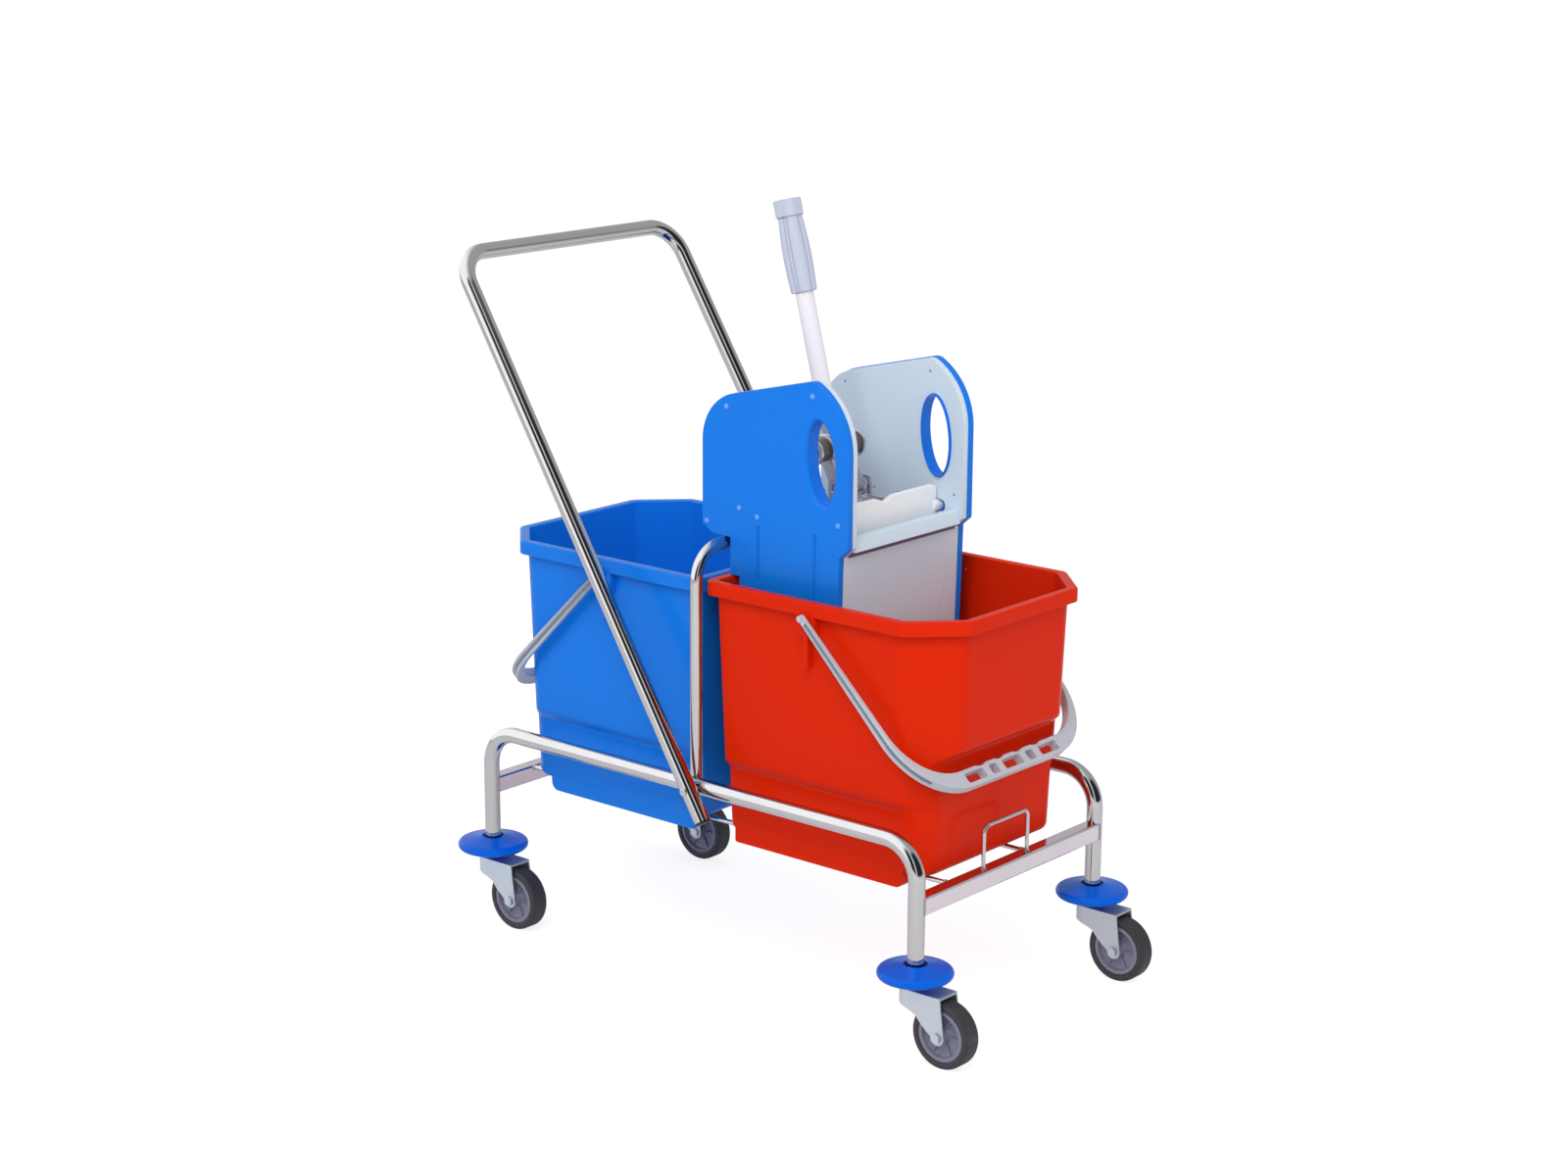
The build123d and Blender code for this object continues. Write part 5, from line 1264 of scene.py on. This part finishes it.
def floor_material(tint):
    """Pale floor that looks white to the camera and keeps the trolley's shadow."""
    white = (1, 1, 1, 1)
    material = bpy.data.materials.new("Studio floor")
    tree = cleared_tree(material)
    mirrored = ray(tree, "Glossy")
    straight = maths(tree, "MAXIMUM", ray(tree, "Camera"), ray(tree, "Transmission"))
    seen = maths(tree, "MAXIMUM", straight, mirrored)
    plain = add_node(tree, "ShaderNodeBsdfDiffuse", (*tint, 1))
    soft = add_node(tree, "ShaderNodeBsdfDiffuse", mapped(tree, mirrored, 0, 1, 0.42, 0.82))
    glow = add_node(tree, "ShaderNodeEmission", white, mapped(tree, mirrored, 0, 1, 0.8, 0.2))
    lit = add_node(tree, "ShaderNodeAddShader", soft, glow)
    mix = add_node(tree, "ShaderNodeMixShader", seen, plain, lit)
    tree.links.new(mix, tree.nodes.new("ShaderNodeOutputMaterial").inputs["Surface"])
    return material


def studio_world():
    """White studio: even light, and for the plating a bright wall, a grey one and a dark one with a gap."""
    bright_wall, dark_wall, gap_side = (-0.6, -0.8, 0), (0.94, -0.342, 0), (0.643, 0.766, 0)
    dark, white = (0.03, 0.03, 0.035, 1), (1, 1, 1, 1)
    world = bpy.data.worlds.new("Studio")
    tree = cleared_tree(world)
    way = add_node(tree, "ShaderNodeTexCoord", output="Generated")

    def towards(direction):
        """How much a ray points in a direction, from -1 to 1."""
        return add_node(
            tree, "ShaderNodeVectorMath", way, direction, output="Value", operation="DOT_PRODUCT"
        )

    def step(value, start, stop, low=0, high=1):
        """Soft step between two values."""
        return mapped(tree, value, start, stop, low, high, "SMOOTHSTEP")

    walls = step(towards(bright_wall), -0.3, 0.5, 0.55, 1.6)
    facing_dark = step(towards(dark_wall), 0.3, 0.55)
    below_ceiling = step(towards((0, 0, 1)), 0.7, 0.82, 1, 0)
    beside_gap = step(maths(tree, "ABSOLUTE", towards(gap_side)), 0.06, 0.18)
    flag = maths(tree, "MULTIPLY", facing_dark, maths(tree, "MULTIPLY", below_ceiling, beside_gap))
    room = add_node(tree, "ShaderNodeMixRGB", flag, walls, dark)
    shown = add_node(tree, "ShaderNodeBackground", white, 1.0)
    light = add_node(tree, "ShaderNodeBackground", white, 0.55)
    mirrored = add_node(tree, "ShaderNodeBackground", room, 1.0)
    gloss = add_node(tree, "ShaderNodeMixShader", ray(tree, "Glossy"), light, mirrored)
    seen = maths(tree, "MAXIMUM", ray(tree, "Camera"), ray(tree, "Transmission"))
    mix = add_node(tree, "ShaderNodeMixShader", seen, gloss, shown)
    tree.links.new(mix, tree.nodes.new("ShaderNodeOutputWorld").inputs["Surface"])
    return world


def soft_box(name, place, width, watts):
    """A square area lamp that points at the trolley and isn't mirrored in it."""
    target = Vector((0, 0, 0.4))
    lamp = bpy.data.lights.new(name, "AREA")
    lamp.shape = "SQUARE"
    lamp.size = width
    lamp.energy = watts
    box = new_piece(name, lamp)
    box.visible_glossy = False
    box.location = place
    box.rotation_euler = (target - Vector(place)).to_track_quat("-Z", "Y").to_euler()


def photo_camera(studio):
    """Camera with the photo's view, from its place, its directions and its shift."""
    right = Vector((0.768734, 0.639525, 0.007451))
    up = Vector((-0.168618, 0.191420, 0.966916))
    camera = bpy.data.cameras.new("photo_camera")
    camera.sensor_width = 36
    camera.lens = studio.lens
    camera.shift_x = -0.011525
    camera.shift_y = 0.014872
    camera.clip_end = 200
    holder = new_piece("photo_camera", camera)
    turn = Matrix((right, up, right.cross(up))).transposed()
    holder.matrix_world = Matrix.Translation(studio.camera_place) @ turn.to_4x4()
    return holder


class TROLLEY_OT_stage(bpy.types.Operator):
    """Set up the floor, the soft light and the camera"""

    bl_idname = "trolley.stage"
    bl_label = "Studio"

    def execute(self, context):
        scene = context.scene
        studio = scene.trolley_studio
        reach = 60.0
        corners = [(x, y, 0) for x, y in rectangle(-reach, -reach, reach, reach)]
        mesh = bpy.data.meshes.new("studio_floor")
        mesh.from_pydata(corners, [], [(0, 1, 2, 3)])
        mesh.materials.append(floor_material(studio.floor))
        floor = new_piece("studio_floor", mesh)
        scene.camera = photo_camera(studio)
        scene.world = studio_world()
        soft_box("key_box", (1.4, -3.0, 3.4), width=2.6, watts=studio.key_power)
        soft_box("fill_box", (3.6, 0.6, 2.2), width=2.2, watts=studio.fill_power)
        scene.view_settings.view_transform = "Standard"
        return {"FINISHED"}


# Add-on


class TROLLEY_PT_sidebar(bpy.types.Panel):
    """Steps that dress the trolley"""

    bl_idname = "TROLLEY_PT_sidebar"
    bl_label = "Mopping trolley"
    bl_space_type = "VIEW_3D"
    bl_region_type = "UI"
    bl_category = "Trolley"

    def draw(self, context):
        for step in STEPS:
            self.layout.operator(step.bl_idname)


STEPS = (
    TROLLEY_OT_frame_tubes,
    TROLLEY_OT_crossbars,
    TROLLEY_OT_welds,
    TROLLEY_OT_handle_fittings,
    TROLLEY_OT_bumpers,
    TROLLEY_OT_casters,
    TROLLEY_OT_wheels,
    TROLLEY_OT_buckets,
    TROLLEY_OT_bails,
    TROLLEY_OT_wringer_panels,
    TROLLEY_OT_panel_screws,
    TROLLEY_OT_wringer_plates,
    TROLLEY_OT_lever,
    TROLLEY_OT_stage,
)
SETTINGS = (
    ("trolley_colours", TrolleyColours),
    ("trolley_sizes", TrolleySizes),
    ("bucket_sizes", BucketSizes),
    ("trolley_studio", StudioSizes),
)


def register():
    """Register the settings, steps and panel."""
    for name, group in SETTINGS:
        bpy.utils.register_class(group)
        setattr(bpy.types.Scene, name, PointerProperty(type=group))
    for step in (*STEPS, TROLLEY_PT_sidebar):
        bpy.utils.register_class(step)


def unregister():
    """Take the settings, steps and panel away."""
    for step in (TROLLEY_PT_sidebar, *reversed(STEPS)):
        bpy.utils.unregister_class(step)
    for name, group in reversed(SETTINGS):
        delattr(bpy.types.Scene, name)
        bpy.utils.unregister_class(group)


def main():
    """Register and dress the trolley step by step."""
    register()
    for step in STEPS:
        area, action = step.bl_idname.split(".")
        getattr(getattr(bpy.ops, area), action)()


if __name__ == "__main__":
    main()
